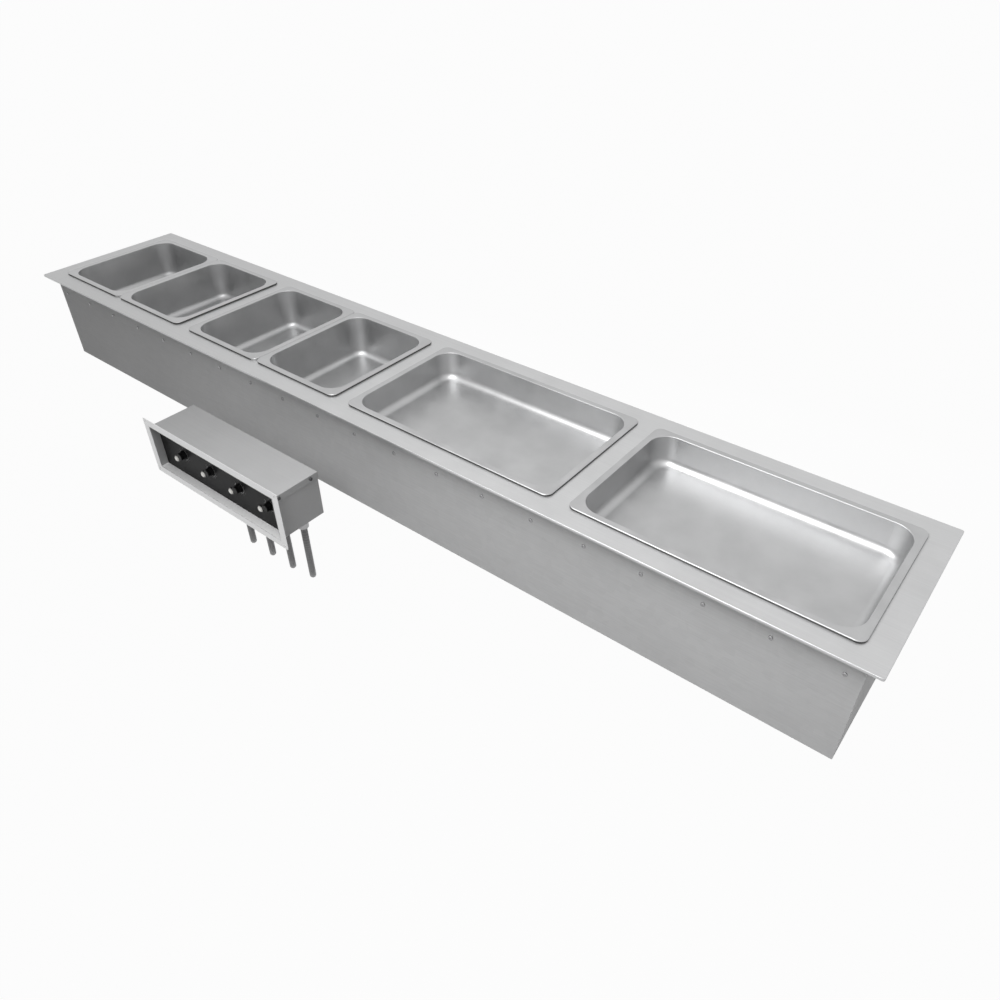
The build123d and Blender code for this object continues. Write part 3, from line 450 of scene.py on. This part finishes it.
def new_finish(name, **constants):
    """New material: its tree and its shader, with the values that are the same all over."""
    material = bpy.data.materials.new(name)
    material.use_nodes = True
    shader = material.node_tree.nodes["Principled BSDF"]
    for key, value in constants.items():
        shader.inputs[key.replace("_", " ")].default_value = value
    return material, material.node_tree, shader.inputs


def bump(tree, height, strength, distance):
    """Normal of a surface with this height."""
    sockets = {"Height": height, "Strength": strength, "Distance": distance}
    return node(tree, "ShaderNodeBump", sockets).outputs["Normal"]


def recess_share(tree):
    """1 on the floor of the control box's recess, in front of the panel, where the painted light goes, and 0
    elsewhere: between half of the sheet and two sheets above the shell's underside."""
    axes = object_axes(tree)
    above = calc(tree, "GREATER_THAN", axes["Z"], SHELL_FLOOR + SHELL_SHEET / 2)
    below = calc(tree, "LESS_THAN", axes["Z"], SHELL_FLOOR + 2 * SHELL_SHEET)
    ahead = calc(tree, "LESS_THAN", axes["Y"], PANEL_FRONT)
    return calc(tree, "MULTIPLY", ahead, calc(tree, "MULTIPLY", above, below))


def sheet_finish(
    name, colour, rough, metallic, stretch, relief=0.08, edge=0.5, spangle=0.0, mottle=9.0, bright=None
):
    """Sheet metal: grain and mottling move its colour and roughness a little, edges are brighter, as worn and
    as a painted highlight, and the grain stands up as fine lines. A bright colour, where given, is painted
    light on the floor of the control box's recess."""
    material, tree, shader = new_finish(name, Metallic=metallic)
    brushed = placed(tree, brushed_grain, {"Stretch": stretch, "Mottle size": mottle})
    edges = placed(tree, edge_catch)["Edge"]
    slow = calc(tree, "MULTIPLY", brushed["Mottle"], 1 - GRAIN_SHARE)
    tone = calc(tree, "MULTIPLY_ADD", brushed["Grain"], GRAIN_SHARE, slow)
    if spangle:
        crystal = placed(tree, zinc_spangle)["Crystal"]
        tone = calc(tree, "MULTIPLY_ADD", calc(tree, "SUBTRACT", crystal, 0.5), spangle, tone)
    plain = toned(tree, from_noise(tree, tone), colour, SHEET_TONES)
    # Painted light on the recess floor, in a brighter colour than the rest of the sheet
    if bright:
        plain = blend(tree, recess_share(tree), plain, opaque(bright))
    # Edges brighter: worn, and partly a painted highlight
    edge_wear_and_highlight = calc(tree, "MULTIPLY", edges, edge)
    plug(tree, blend(tree, edge_wear_and_highlight, plain, opaque(colour, EDGE_WEAR_AND_HIGHLIGHT_GAIN)), shader["Base Color"])
    dull = from_noise(tree, brushed["Mottle"], *rough)
    plug(tree, calc(tree, "MULTIPLY_ADD", edge_wear_and_highlight, -EDGE_POLISH, dull), shader["Roughness"])
    plug(tree, bump(tree, brushed["Grain"], relief, GRAIN_HEIGHT), shader["Normal"])
    return material


def rim_foot(tree):
    """1 on the outer faces of the pans' rims, below their rounded tops, where a painted shadow of the gap
    down to the flange goes, and 0 elsewhere. With x folded by the pitch of the wells, these faces lie on a
    rectangle with round corners, and a place is on it where the corner's circle is passed: |max(q, 0)| > r,
    with q from the middle of the corner."""
    low, high = FIRST_FULL_PAN
    axes = object_axes(tree)
    shifted = calc(tree, "SUBTRACT", axes["X"], (low.x + high.x - WELL_PITCH) / 2)
    along = calc(tree, "FLOORED_MODULO", shifted, WELL_PITCH)
    aside = calc(tree, "ABSOLUTE", calc(tree, "SUBTRACT", along, WELL_PITCH / 2))
    past_x = calc(tree, "MAXIMUM", calc(tree, "SUBTRACT", aside, (high.x - low.x) / 2 - RIM_CORNER), 0.0)
    across = calc(tree, "ABSOLUTE", axes["Y"])
    past_y = calc(tree, "MAXIMUM", calc(tree, "SUBTRACT", across, high.y - RIM_CORNER), 0.0)
    squares = calc(tree, "MULTIPLY_ADD", past_x, past_x, calc(tree, "MULTIPLY", past_y, past_y))
    outer = calc(tree, "GREATER_THAN", calc(tree, "SQRT", squares), RIM_CORNER - RIM_ROUND / 4)
    return calc(tree, "MULTIPLY", outer, calc(tree, "LESS_THAN", axes["Z"], high.z - 0.8 * RIM_ROUND))


def pan_finish(name, colour, rough):
    """Drawn and polished sheet: slow waves instead of grain, edges brighter, as worn and as a painted
    highlight, and a painted shadow on the rims' outer faces down to the flange."""
    material, tree, shader = new_finish(name, Metallic=1.0)
    brushed = placed(tree, brushed_grain, {"Stretch": GRAIN_PAN, "Mottle size": 16.0})
    # Edges brighter: worn, and partly a painted highlight
    edge_wear_and_highlight = calc(tree, "MULTIPLY", placed(tree, edge_catch)["Edge"], 0.3)
    plain = toned(tree, from_noise(tree, brushed["Mottle"]), colour, PAN_TONES)
    bright = blend(tree, edge_wear_and_highlight, plain, opaque(colour, EDGE_WEAR_AND_HIGHLIGHT_GAIN))
    # Painted shadow: the rims' outer faces turn dark down to the flange
    plug(tree, blend(tree, rim_foot(tree), bright, opaque(colour, RIM_SHADOW_GAIN)), shader["Base Color"])
    plug(tree, from_noise(tree, brushed["Mottle"], *rough), shader["Roughness"])
    plug(tree, bump(tree, brushed["Mottle"], 0.2, WAVE_HEIGHT), shader["Normal"])
    return material


def moulded_finish(name, colour, rough, relief=0.15, fineness=1800.0, contrast=0.25, edge=0.3, **constants):
    """Moulded plastic or rubber: a pebbled skin, slow shade changes and paler edges, worn and partly a
    painted highlight.
    """
    material, tree, shader = new_finish(name, **constants)
    skin = placed(tree, moulded_skin, {"Fineness": fineness})
    # Paler edges: worn, and partly a painted highlight
    edge_wear_and_highlight = calc(tree, "MULTIPLY", placed(tree, edge_catch)["Edge"], edge)
    plain = toned(tree, from_noise(tree, skin["Shade"]), colour, (1 - contrast, 1 + contrast))
    pale = tuple(channel * 1.4 + 0.01 for channel in colour)
    plug(tree, blend(tree, edge_wear_and_highlight, plain, opaque(pale)), shader["Base Color"])
    plug(tree, from_noise(tree, skin["Skin"], *rough), shader["Roughness"])
    plug(tree, bump(tree, skin["Skin"], relief, SKIN_HEIGHT), shader["Normal"])
    return material


def lens_finish(name, colour):
    """Milky lens with a faint glow: rings about each lamp's own axis, found by folding x by the pitch of the
    lamps, paler in the middle and darker where the dome turns down to its holder."""
    material, tree, shader = new_finish(
        name, Coat_Weight=0.6, Coat_Roughness=0.08, IOR=1.49, Emission_Strength=0.3
    )
    axes = object_axes(tree)
    along = calc(tree, "ADD", axes["X"], CONTROL_PITCH / 2 - LAMP_X)
    across = calc(tree, "SUBTRACT", calc(tree, "FLOORED_MODULO", along, CONTROL_PITCH), CONTROL_PITCH / 2)
    rise = calc(tree, "SUBTRACT", axes["Z"], LAMP_Z)
    squares = calc(tree, "MULTIPLY_ADD", across, across, calc(tree, "MULTIPLY", rise, rise))
    reach = calc(tree, "DIVIDE", calc(tree, "SQRT", squares), LAMP_RADIUS)
    rings = calc(tree, "SINE", calc(tree, "MULTIPLY", reach, 30.0))
    share = spread(tree, reach, 0.2, 1.0, 0.0, 1.0)
    milk = toned(tree, share, colour, MILK_TONES)
    plug(tree, milk, shader["Base Color"])
    plug(tree, milk, shader["Emission Color"])
    plug(tree, spread(tree, rings, -1.0, 1.0, 0.16, 0.3), shader["Roughness"])
    plug(tree, bump(tree, rings, 0.12, RING_HEIGHT), shader["Normal"])
    return material


def jacket_finish(name, colour, turns):
    """Conduit jacket: the turns of the wound core show as faint waves along the piece's own UV map, over a
    pebbled skin."""
    material, tree, shader = new_finish(name)
    run = node(tree, "ShaderNodeSeparateXYZ", {0: node(tree, "ShaderNodeUVMap").outputs["UV"]}).outputs
    skin = placed(tree, moulded_skin, {"Fineness": 1200.0})
    phase = calc(tree, "MULTIPLY_ADD", run["X"], 2 * pi * turns, calc(tree, "MULTIPLY", run["Y"], 2 * pi))
    wave = calc(tree, "MULTIPLY_ADD", calc(tree, "SINE", phase), 0.5, 0.5)
    shade = calc(tree, "MULTIPLY_ADD", wave, 0.5, calc(tree, "MULTIPLY", skin["Shade"], 0.5))
    share = spread(tree, shade, 0.2, 0.8, 0.0, 1.0)
    plug(tree, toned(tree, share, colour, JACKET_TONES), shader["Base Color"])
    plug(tree, from_noise(tree, skin["Skin"], 0.38, 0.52), shader["Roughness"])
    height = calc(tree, "MULTIPLY_ADD", wave, 1.0, calc(tree, "MULTIPLY", skin["Skin"], 0.15))
    plug(tree, bump(tree, height, 0.25, CORE_HEIGHT), shader["Normal"])
    return material


def board_finish(name, colour):
    """Fibre board: matted fibres from two noises, one drawn out along x."""
    material, tree, shader = new_finish(name, Roughness=0.95)
    place = object_place(tree)
    drawn = node(tree, "ShaderNodeVectorMath", {0: place, 1: GRAIN_FIBRE}, operation="MULTIPLY")
    fibres = calc(tree, "MULTIPLY", noise(tree, drawn.outputs[0], 1.0, 4.0), noise(tree, place, 300.0, 4.0))
    share = spread(tree, fibres, 0.1, 0.4, 0.0, 1.0)
    plug(tree, toned(tree, share, colour, FIBRE_TONES), shader["Base Color"])
    plug(tree, bump(tree, fibres, 0.5, FIBRE_HEIGHT), shader["Normal"])
    return material


def paint_finish(name, colour):
    """Printed or filled-in paint: slightly uneven in cover and gloss."""
    material, tree, shader = new_finish(name)
    cover = noise(tree, object_place(tree), 900.0, 3.0)
    plug(tree, toned(tree, from_noise(tree, cover), colour, PAINT_TONES), shader["Base Color"])
    plug(tree, from_noise(tree, cover, 0.45, 0.6), shader["Roughness"])
    return material


def dress(nodes, material):
    """Give carried-over nodes a finish."""
    for name in nodes:
        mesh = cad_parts[name].data
        mesh.materials.clear()
        mesh.materials.append(material)


def grid_faces(rows, columns, wrap=False):
    """Quads between the points of a grid, row by row, closed round its columns where it wraps."""
    index = np.arange(rows * columns).reshape(rows, columns)
    beside = np.roll(index, -1, axis=1)
    corners = np.stack([index[:-1], beside[:-1], beside[1:], index[1:]], axis=-1)
    return (corners if wrap else corners[:, :-1]).reshape(-1, 4)


def stack(grids, wrap=False):
    """Points and quads of several grids of one size as one mesh."""
    count, rows, columns = grids.shape[:3]
    faces = grid_faces(rows, columns, wrap)
    shifted = faces[None] + np.arange(count)[:, None, None] * rows * columns
    return grids.reshape(-1, 3), shifted.reshape(-1, 4)


def surface(name, parts, material, body=None, smooth=False):
    """New piece from points and faces, in the part's frame."""
    shift = 0
    points, faces = [], []
    for part_points, part_faces in parts:
        points.append(part_points)
        faces.append(part_faces + shift)
        shift += len(part_points)
    mesh = bpy.data.meshes.new(name)
    mesh.from_pydata(np.concatenate(points).tolist(), [], np.concatenate(faces).tolist())
    mesh.polygons.foreach_set("use_smooth", np.full(len(mesh.polygons), smooth))
    mesh.materials.append(material)
    piece = bpy.data.objects.new(name, mesh)
    bpy.context.scene.collection.objects.link(piece)
    if body:
        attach(piece, body)
    return piece


def dial_points(angle, reach, centre_x, level):
    """Points round a knob: angle runs clockwise from straight up, reach is the distance from the knob's axis
    and level is y."""
    x = centre_x + reach * np.sin(angle)
    z = KNOB_Z + reach * np.cos(angle)
    return np.stack(np.broadcast_arrays(x, level, z), axis=-1)


def pointer_bar(centre_x):
    """Closed bar of paint on the floor of a knob's groove: x and y follow an ellipse of the bar's width and
    depth, which shrinks to nothing at both ends as the eighth root of 1 - |2 s - 1|^8, and z runs from start
    to end with s."""
    along = np.linspace(0.0, 1.0, 25)[:, None]
    turn = np.linspace(0.0, 2 * pi, 16, endpoint=False)[None]
    size = (1.0 - np.abs(2 * along - 1.0) ** 8).clip(0.0, None) ** 0.125
    x = centre_x + POINTER_WIDTH / 2 * size * np.cos(turn)
    y = KNOB_FRONT + GROOVE_DEPTH + POINTER_DEPTH / 2 * size * np.sin(turn)
    z = KNOB_Z + POINTER_START + (POINTER_END - POINTER_START) * along
    return np.stack(np.broadcast_arrays(x, y, z), axis=-1)


class FOODWELL_OT_camera(bpy.types.Operator):
    """Stand the camera where the photograph was taken from"""

    bl_idname = "foodwell.camera"
    bl_label = "Camera"

    def execute(self, context):
        given = context.scene.foodwell_stage
        data = bpy.data.cameras.new("view")
        data.lens = given.lens
        data.sensor_width = 36.0
        data.clip_start = 0.01
        camera = bpy.data.objects.new("view", data)
        context.scene.collection.objects.link(camera)
        sight = Vector(given.camera_aim) - Vector(given.camera_place)
        camera.rotation_mode = "QUATERNION"
        level = sight.to_track_quat("-Z", "Y")
        camera.rotation_quaternion = level @ Quaternion((0.0, 0.0, 1.0), given.camera_roll)
        camera.location = given.camera_place
        context.scene.camera = camera
        return {"FINISHED"}


class FOODWELL_OT_conduits(bpy.types.Operator):
    """Hang the four flexible conduits between the control box and the housing"""

    bl_idname = "foodwell.conduits"
    bl_label = "Conduits"

    def execute(self, context):
        given = context.scene.foodwell_conduits
        jacket = jacket_finish("conduit_jacket_grey", given.colour, given.turns)
        ends = zip(CONTROLS, BOX_END_X, WELL_END_X, CONDUIT_RAISE, CONDUIT_LENGTHS)
        for number, box_x, well_x, rise, length in ends:
            points = [(box_x, BOX_END_Y, BOX_END_Z)]
            for share, height in CONDUIT_ROUTE:
                across = BOX_END_Y + share * (WELL_END_Y - BOX_END_Y)
                level = height + rise if 0 < share < 1 else height
                points.append((box_x + share * (well_x - box_x), across, level))
            points.append((well_x, WELL_END_Y, WELL_END_Z))
            curve = bpy.data.curves.new(f"conduit_hose_{number}", "CURVE")
            curve.dimensions = "3D"
            curve.bevel_depth = given.diameter / 2
            curve.bevel_resolution = 6
            curve.resolution_u = 16
            curve.use_fill_caps = True
            spline = curve.splines.new("NURBS")
            spline.points.add(len(points) - 1)
            spline.points.foreach_set("co", np.array([(*point, 1.0) for point in points]).ravel())
            spline.order_u = 3
            spline.use_endpoint_u = True
            curve.materials.append(jacket)
            hose = bpy.data.objects.new(f"conduit_hose_{number}", curve)
            context.scene.collection.objects.link(hose)
            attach(hose, "housing")
            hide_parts(f"conduit_{number}")
        return {"FINISHED"}


class FOODWELL_OT_dials(bpy.types.Operator):
    """Print a widening band and tick marks round each knob"""

    bl_idname = "foodwell.dials"
    bl_label = "Dial prints"

    def execute(self, context):
        given = context.scene.foodwell_dials
        level = PANEL_FRONT - given.thickness
        inner = KNOB_RADIUS + given.gap
        angle = np.linspace(BAND_START, 1.0, 90)[:, None] * given.sweep
        width = BAND_THIN + (given.band - BAND_THIN) * (angle / given.sweep)
        band_reach = inner + width * np.array([0.0, 1.0])[None]
        bands = np.stack([dial_points(angle, band_reach, x, level) for x in KNOB_X])
        start = inner + given.band + TICK_GAP
        side = np.array([-0.5, 0.5])[:, None] * TICK_WIDTH / start
        tick_reach = start + np.array([0.0, given.tick])[None]
        turns = np.linspace(0.0, given.sweep, given.ticks)
        ticks = np.stack([dial_points(turn + side, tick_reach, x, level) for x in KNOB_X for turn in turns])
        paint = paint_finish("dial_print_grey", given.colour)
        piece = surface("dial_prints", [stack(bands), stack(ticks)], paint, "housing")
        wall = piece.modifiers.new("thickness", "SOLIDIFY")
        wall.thickness = given.thickness
        wall.offset = -1.0
        return {"FINISHED"}


class FOODWELL_OT_pointers(bpy.types.Operator):
    """Fill the pointer groove of each knob with pale paint"""

    bl_idname = "foodwell.pointers"
    bl_label = "Knob pointers"

    def execute(self, context):
        paint = paint_finish("pointer_paint", context.scene.foodwell_dials.pointer_colour)
        for number, centre_x in zip(CONTROLS, KNOB_X):
            bar = pointer_bar(centre_x)
            rows, columns = bar.shape[:2]
            part = (bar.reshape(-1, 3), grid_faces(rows, columns, wrap=True))
            surface(f"pointer_paint_{number}", [part], paint, f"control_{number}", smooth=True)
        return {"FINISHED"}


class FOODWELL_OT_metalwork(bpy.types.Operator):
    """Finish the flange, pans, wells, housing and control box"""

    bl_idname = "foodwell.metalwork"
    bl_label = "Metalwork"

    def execute(self, context):
        given = context.scene.foodwell_finishes
        dress(["top_flange"], sheet_finish(
            "flange_brushed", given.flange, (0.30, 0.42), 0.7, GRAIN_ALONG_X, edge=0.1
        ))
        dress(PANWARE, pan_finish("pan_polished", given.pan, (0.38, 0.48)))
        dress(numbered("well_liner"), sheet_finish("liner_drawn", given.pan, (0.26, 0.38), 1.0, GRAIN_LINER))
        dress(HOUSING_SHEETS, sheet_finish(
            "housing_coated", given.housing, (0.46, 0.58), 0.06, GRAIN_HOUSING, relief=0.04, edge=0.1,
            spangle=0.1, mottle=5.0
        ))
        # The shell's recess floor gets painted light, in the bright recess colour
        dress(["control_box_shell", "control_box_lid"], sheet_finish(
            "box_satin", given.box, (0.36, 0.46), 0.06, GRAIN_ALONG_X, edge=0.2, bright=given.recess
        ))
        dress(["control_bezel"], sheet_finish(
            "bezel_satin", given.bezel, (0.28, 0.38), 0.6, GRAIN_ALONG_X, edge=0.2
        ))
        return {"FINISHED"}


class FOODWELL_OT_controls(bpy.types.Operator):
    """Finish the dark panel, the knobs and the lamps"""

    bl_idname = "foodwell.controls"
    bl_label = "Controls"

    def execute(self, context):
        given = context.scene.foodwell_finishes
        dress(["control_panel"], moulded_finish(
            "panel_overlay", given.panel, (0.38, 0.5), relief=0.1, Specular_IOR_Level=0.08
        ))
        dress(numbered("knob"), moulded_finish(
            "knob_moulding", given.knob, (0.34, 0.46), fineness=1400.0, Specular_IOR_Level=0.12
        ))
        dress(["indicator_lamps"], lens_finish("lamp_milk", given.lens))
        dress(["lamp_holders"], moulded_finish("holder_black", HOLDER_BLACK, (0.25, 0.35), relief=0.05))
        return {"FINISHED"}


class FOODWELL_OT_fittings(bpy.types.Operator):
    """Finish the fittings, fasteners and what lies inside"""

    bl_idname = "foodwell.fittings"
    bl_label = "Fittings and insides"

    def execute(self, context):
        dress(FITTINGS, sheet_finish(
            "fitting_cast", FITTING_GREY, (0.34, 0.5), 0.85, GRAIN_CAST, relief=0.25, mottle=60.0
        ))
        dress(numbered("thermostat_shaft") + ["thermostat_nuts"], sheet_finish(
            "plated_steel", PLATED_GREY, (0.2, 0.3), 1.0, GRAIN_CAST, relief=0.05, mottle=120.0
        ))
        for screws, name, colour in (
            ("housing_screws", "screw_plated", SCREW_GREY),
            ("control_box_screws", "screw_blackened", BLACKENED_GREY),
        ):
            dress([screws], sheet_finish(
                name, colour, (0.35, 0.5), 0.9, GRAIN_CAST, relief=0.05, mottle=120.0
            ))
        dress(numbered("heating_element"), sheet_finish(
            "element_sheath_dark", SHEATH_GREY, (0.45, 0.6), 0.9, GRAIN_CAST, mottle=40.0
        ))
        dress(["sensor_bulbs", "high_limits"], sheet_finish(
            "bulb_drawn_copper", COPPER, (0.3, 0.42), 1.0, GRAIN_CAST, mottle=80.0
        ))
        dress(BOARDS, board_finish("board_fibre", FIBRE_TAN))
        dress(["flange_gasket"], moulded_finish("gasket_foam", FOAM_BLACK, (0.75, 0.9), relief=0.5))
        dress(["terminal_block", "thermostat_bodies"], moulded_finish(
            "phenolic_black", PHENOLIC_BLACK, (0.4, 0.55)
        ))
        return {"FINISHED"}


def white_rays(tree):
    """1 for rays from the camera, from gloss and through glass, which see the background as plain white."""
    path = node(tree, "ShaderNodeLightPath").outputs
    seen = calc(tree, "MAXIMUM", path["Is Camera Ray"], path["Is Glossy Ray"])
    return calc(tree, "MAXIMUM", seen, path["Is Transmission Ray"])


def soft_lamp(name, power, size, place, aim):
    """New rectangular lamp that faces a point, itself out of the camera's sight."""
    data = bpy.data.lights.new(name, "AREA")
    data.shape = "RECTANGLE"
    data.size, data.size_y = size
    data.energy = power
    lamp = bpy.data.objects.new(name, data)
    bpy.context.scene.collection.objects.link(lamp)
    lamp.location = place
    lamp.rotation_euler = (Vector(aim) - lamp.location).to_track_quat("-Z", "Y").to_euler()
    lamp.visible_camera = False


class FOODWELL_OT_stage(bpy.types.Operator):
    """Set up the pale floor, the even surroundings and the soft lamps"""

    bl_idname = "foodwell.stage"
    bl_label = "Stage"

    def execute(self, context):
        given = context.scene.foodwell_stage
        world = bpy.data.worlds.new("surroundings")
        world.use_nodes = True
        sky = world.node_tree.nodes["Background"].inputs
        sky["Color"].default_value = (1.0, 1.0, 1.0, 1.0)
        white = white_rays(world.node_tree)
        strength = spread(world.node_tree, white, 0.0, 1.0, given.sky_level, 1.0)
        plug(world.node_tree, strength, sky["Strength"])
        context.scene.world = world
        context.scene.view_settings.view_transform = "Standard"

        material, tree, shader = new_finish("floor_pale", Roughness=0.9)
        shader["Base Color"].default_value = opaque(given.floor_colour)
        lit = tree.nodes["Principled BSDF"].outputs[0]
        plain = node(tree, "ShaderNodeEmission", {"Color": (1.0, 1.0, 1.0, 1.0)}).outputs[0]
        share = calc(tree, "MULTIPLY", white_rays(tree), given.floor_white)
        face = node(tree, "ShaderNodeMixShader", {0: share, 1: lit, 2: plain}).outputs[0]
        clear = node(tree, "ShaderNodeBsdfTransparent").outputs[0]
        below = node(tree, "ShaderNodeNewGeometry").outputs["Backfacing"]
        sided = node(tree, "ShaderNodeMixShader", {0: below, 1: face, 2: clear}).outputs[0]
        plug(tree, sided, tree.nodes["Material Output"].inputs["Surface"])
        reach = np.linspace(-1.0, 1.0, 9) * given.floor_radius
        y, x = np.meshgrid(reach, reach, indexing="ij")
        flat = np.stack([x, y, np.full_like(x, given.floor_height)], axis=-1)
        surface("floor", [(flat.reshape(-1, 3), grid_faces(9, 9))], material)

        soft_lamp("key", given.key_power, given.key_size, given.key_place, given.key_aim)
        soft_lamp("back", given.back_power, given.back_size, given.back_place, given.back_aim)
        return {"FINISHED"}


OPERATORS = (
    FOODWELL_OT_camera, FOODWELL_OT_conduits, FOODWELL_OT_dials, FOODWELL_OT_pointers, FOODWELL_OT_metalwork,
    FOODWELL_OT_controls, FOODWELL_OT_fittings, FOODWELL_OT_stage,
)


class FOODWELL_PT_sidebar(bpy.types.Panel):
    """List of the food well's makers"""

    bl_idname = "FOODWELL_PT_sidebar"
    bl_label = "Food Well"
    bl_space_type = "VIEW_3D"
    bl_region_type = "UI"
    bl_category = "Food Well"

    def draw(self, context):
        for operator in OPERATORS:
            self.layout.operator(operator.bl_idname)


SETTINGS = {
    "foodwell_stage": StageSettings,
    "foodwell_conduits": ConduitSettings,
    "foodwell_dials": DialSettings,
    "foodwell_finishes": FinishSettings,
}


def register():
    """Register the settings, operators and panel."""
    for name, group in SETTINGS.items():
        bpy.utils.register_class(group)
        setattr(bpy.types.Scene, name, bpy.props.PointerProperty(type=group))
    for operator in OPERATORS:
        bpy.utils.register_class(operator)
    bpy.utils.register_class(FOODWELL_PT_sidebar)


def unregister():
    """Take the panel, operators and settings away again."""
    bpy.utils.unregister_class(FOODWELL_PT_sidebar)
    for operator in reversed(OPERATORS):
        bpy.utils.unregister_class(operator)
    for name, group in SETTINGS.items():
        delattr(bpy.types.Scene, name)
        bpy.utils.unregister_class(group)


def main():
    """Make the pieces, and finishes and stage."""
    register()
    bpy.ops.foodwell.camera()
    bpy.ops.foodwell.conduits()
    bpy.ops.foodwell.dials()
    bpy.ops.foodwell.pointers()
    bpy.ops.foodwell.metalwork()
    bpy.ops.foodwell.controls()
    bpy.ops.foodwell.fittings()
    bpy.ops.foodwell.stage()
    bpy.context.view_layer.update()


if __name__ == "__main__":
    main()
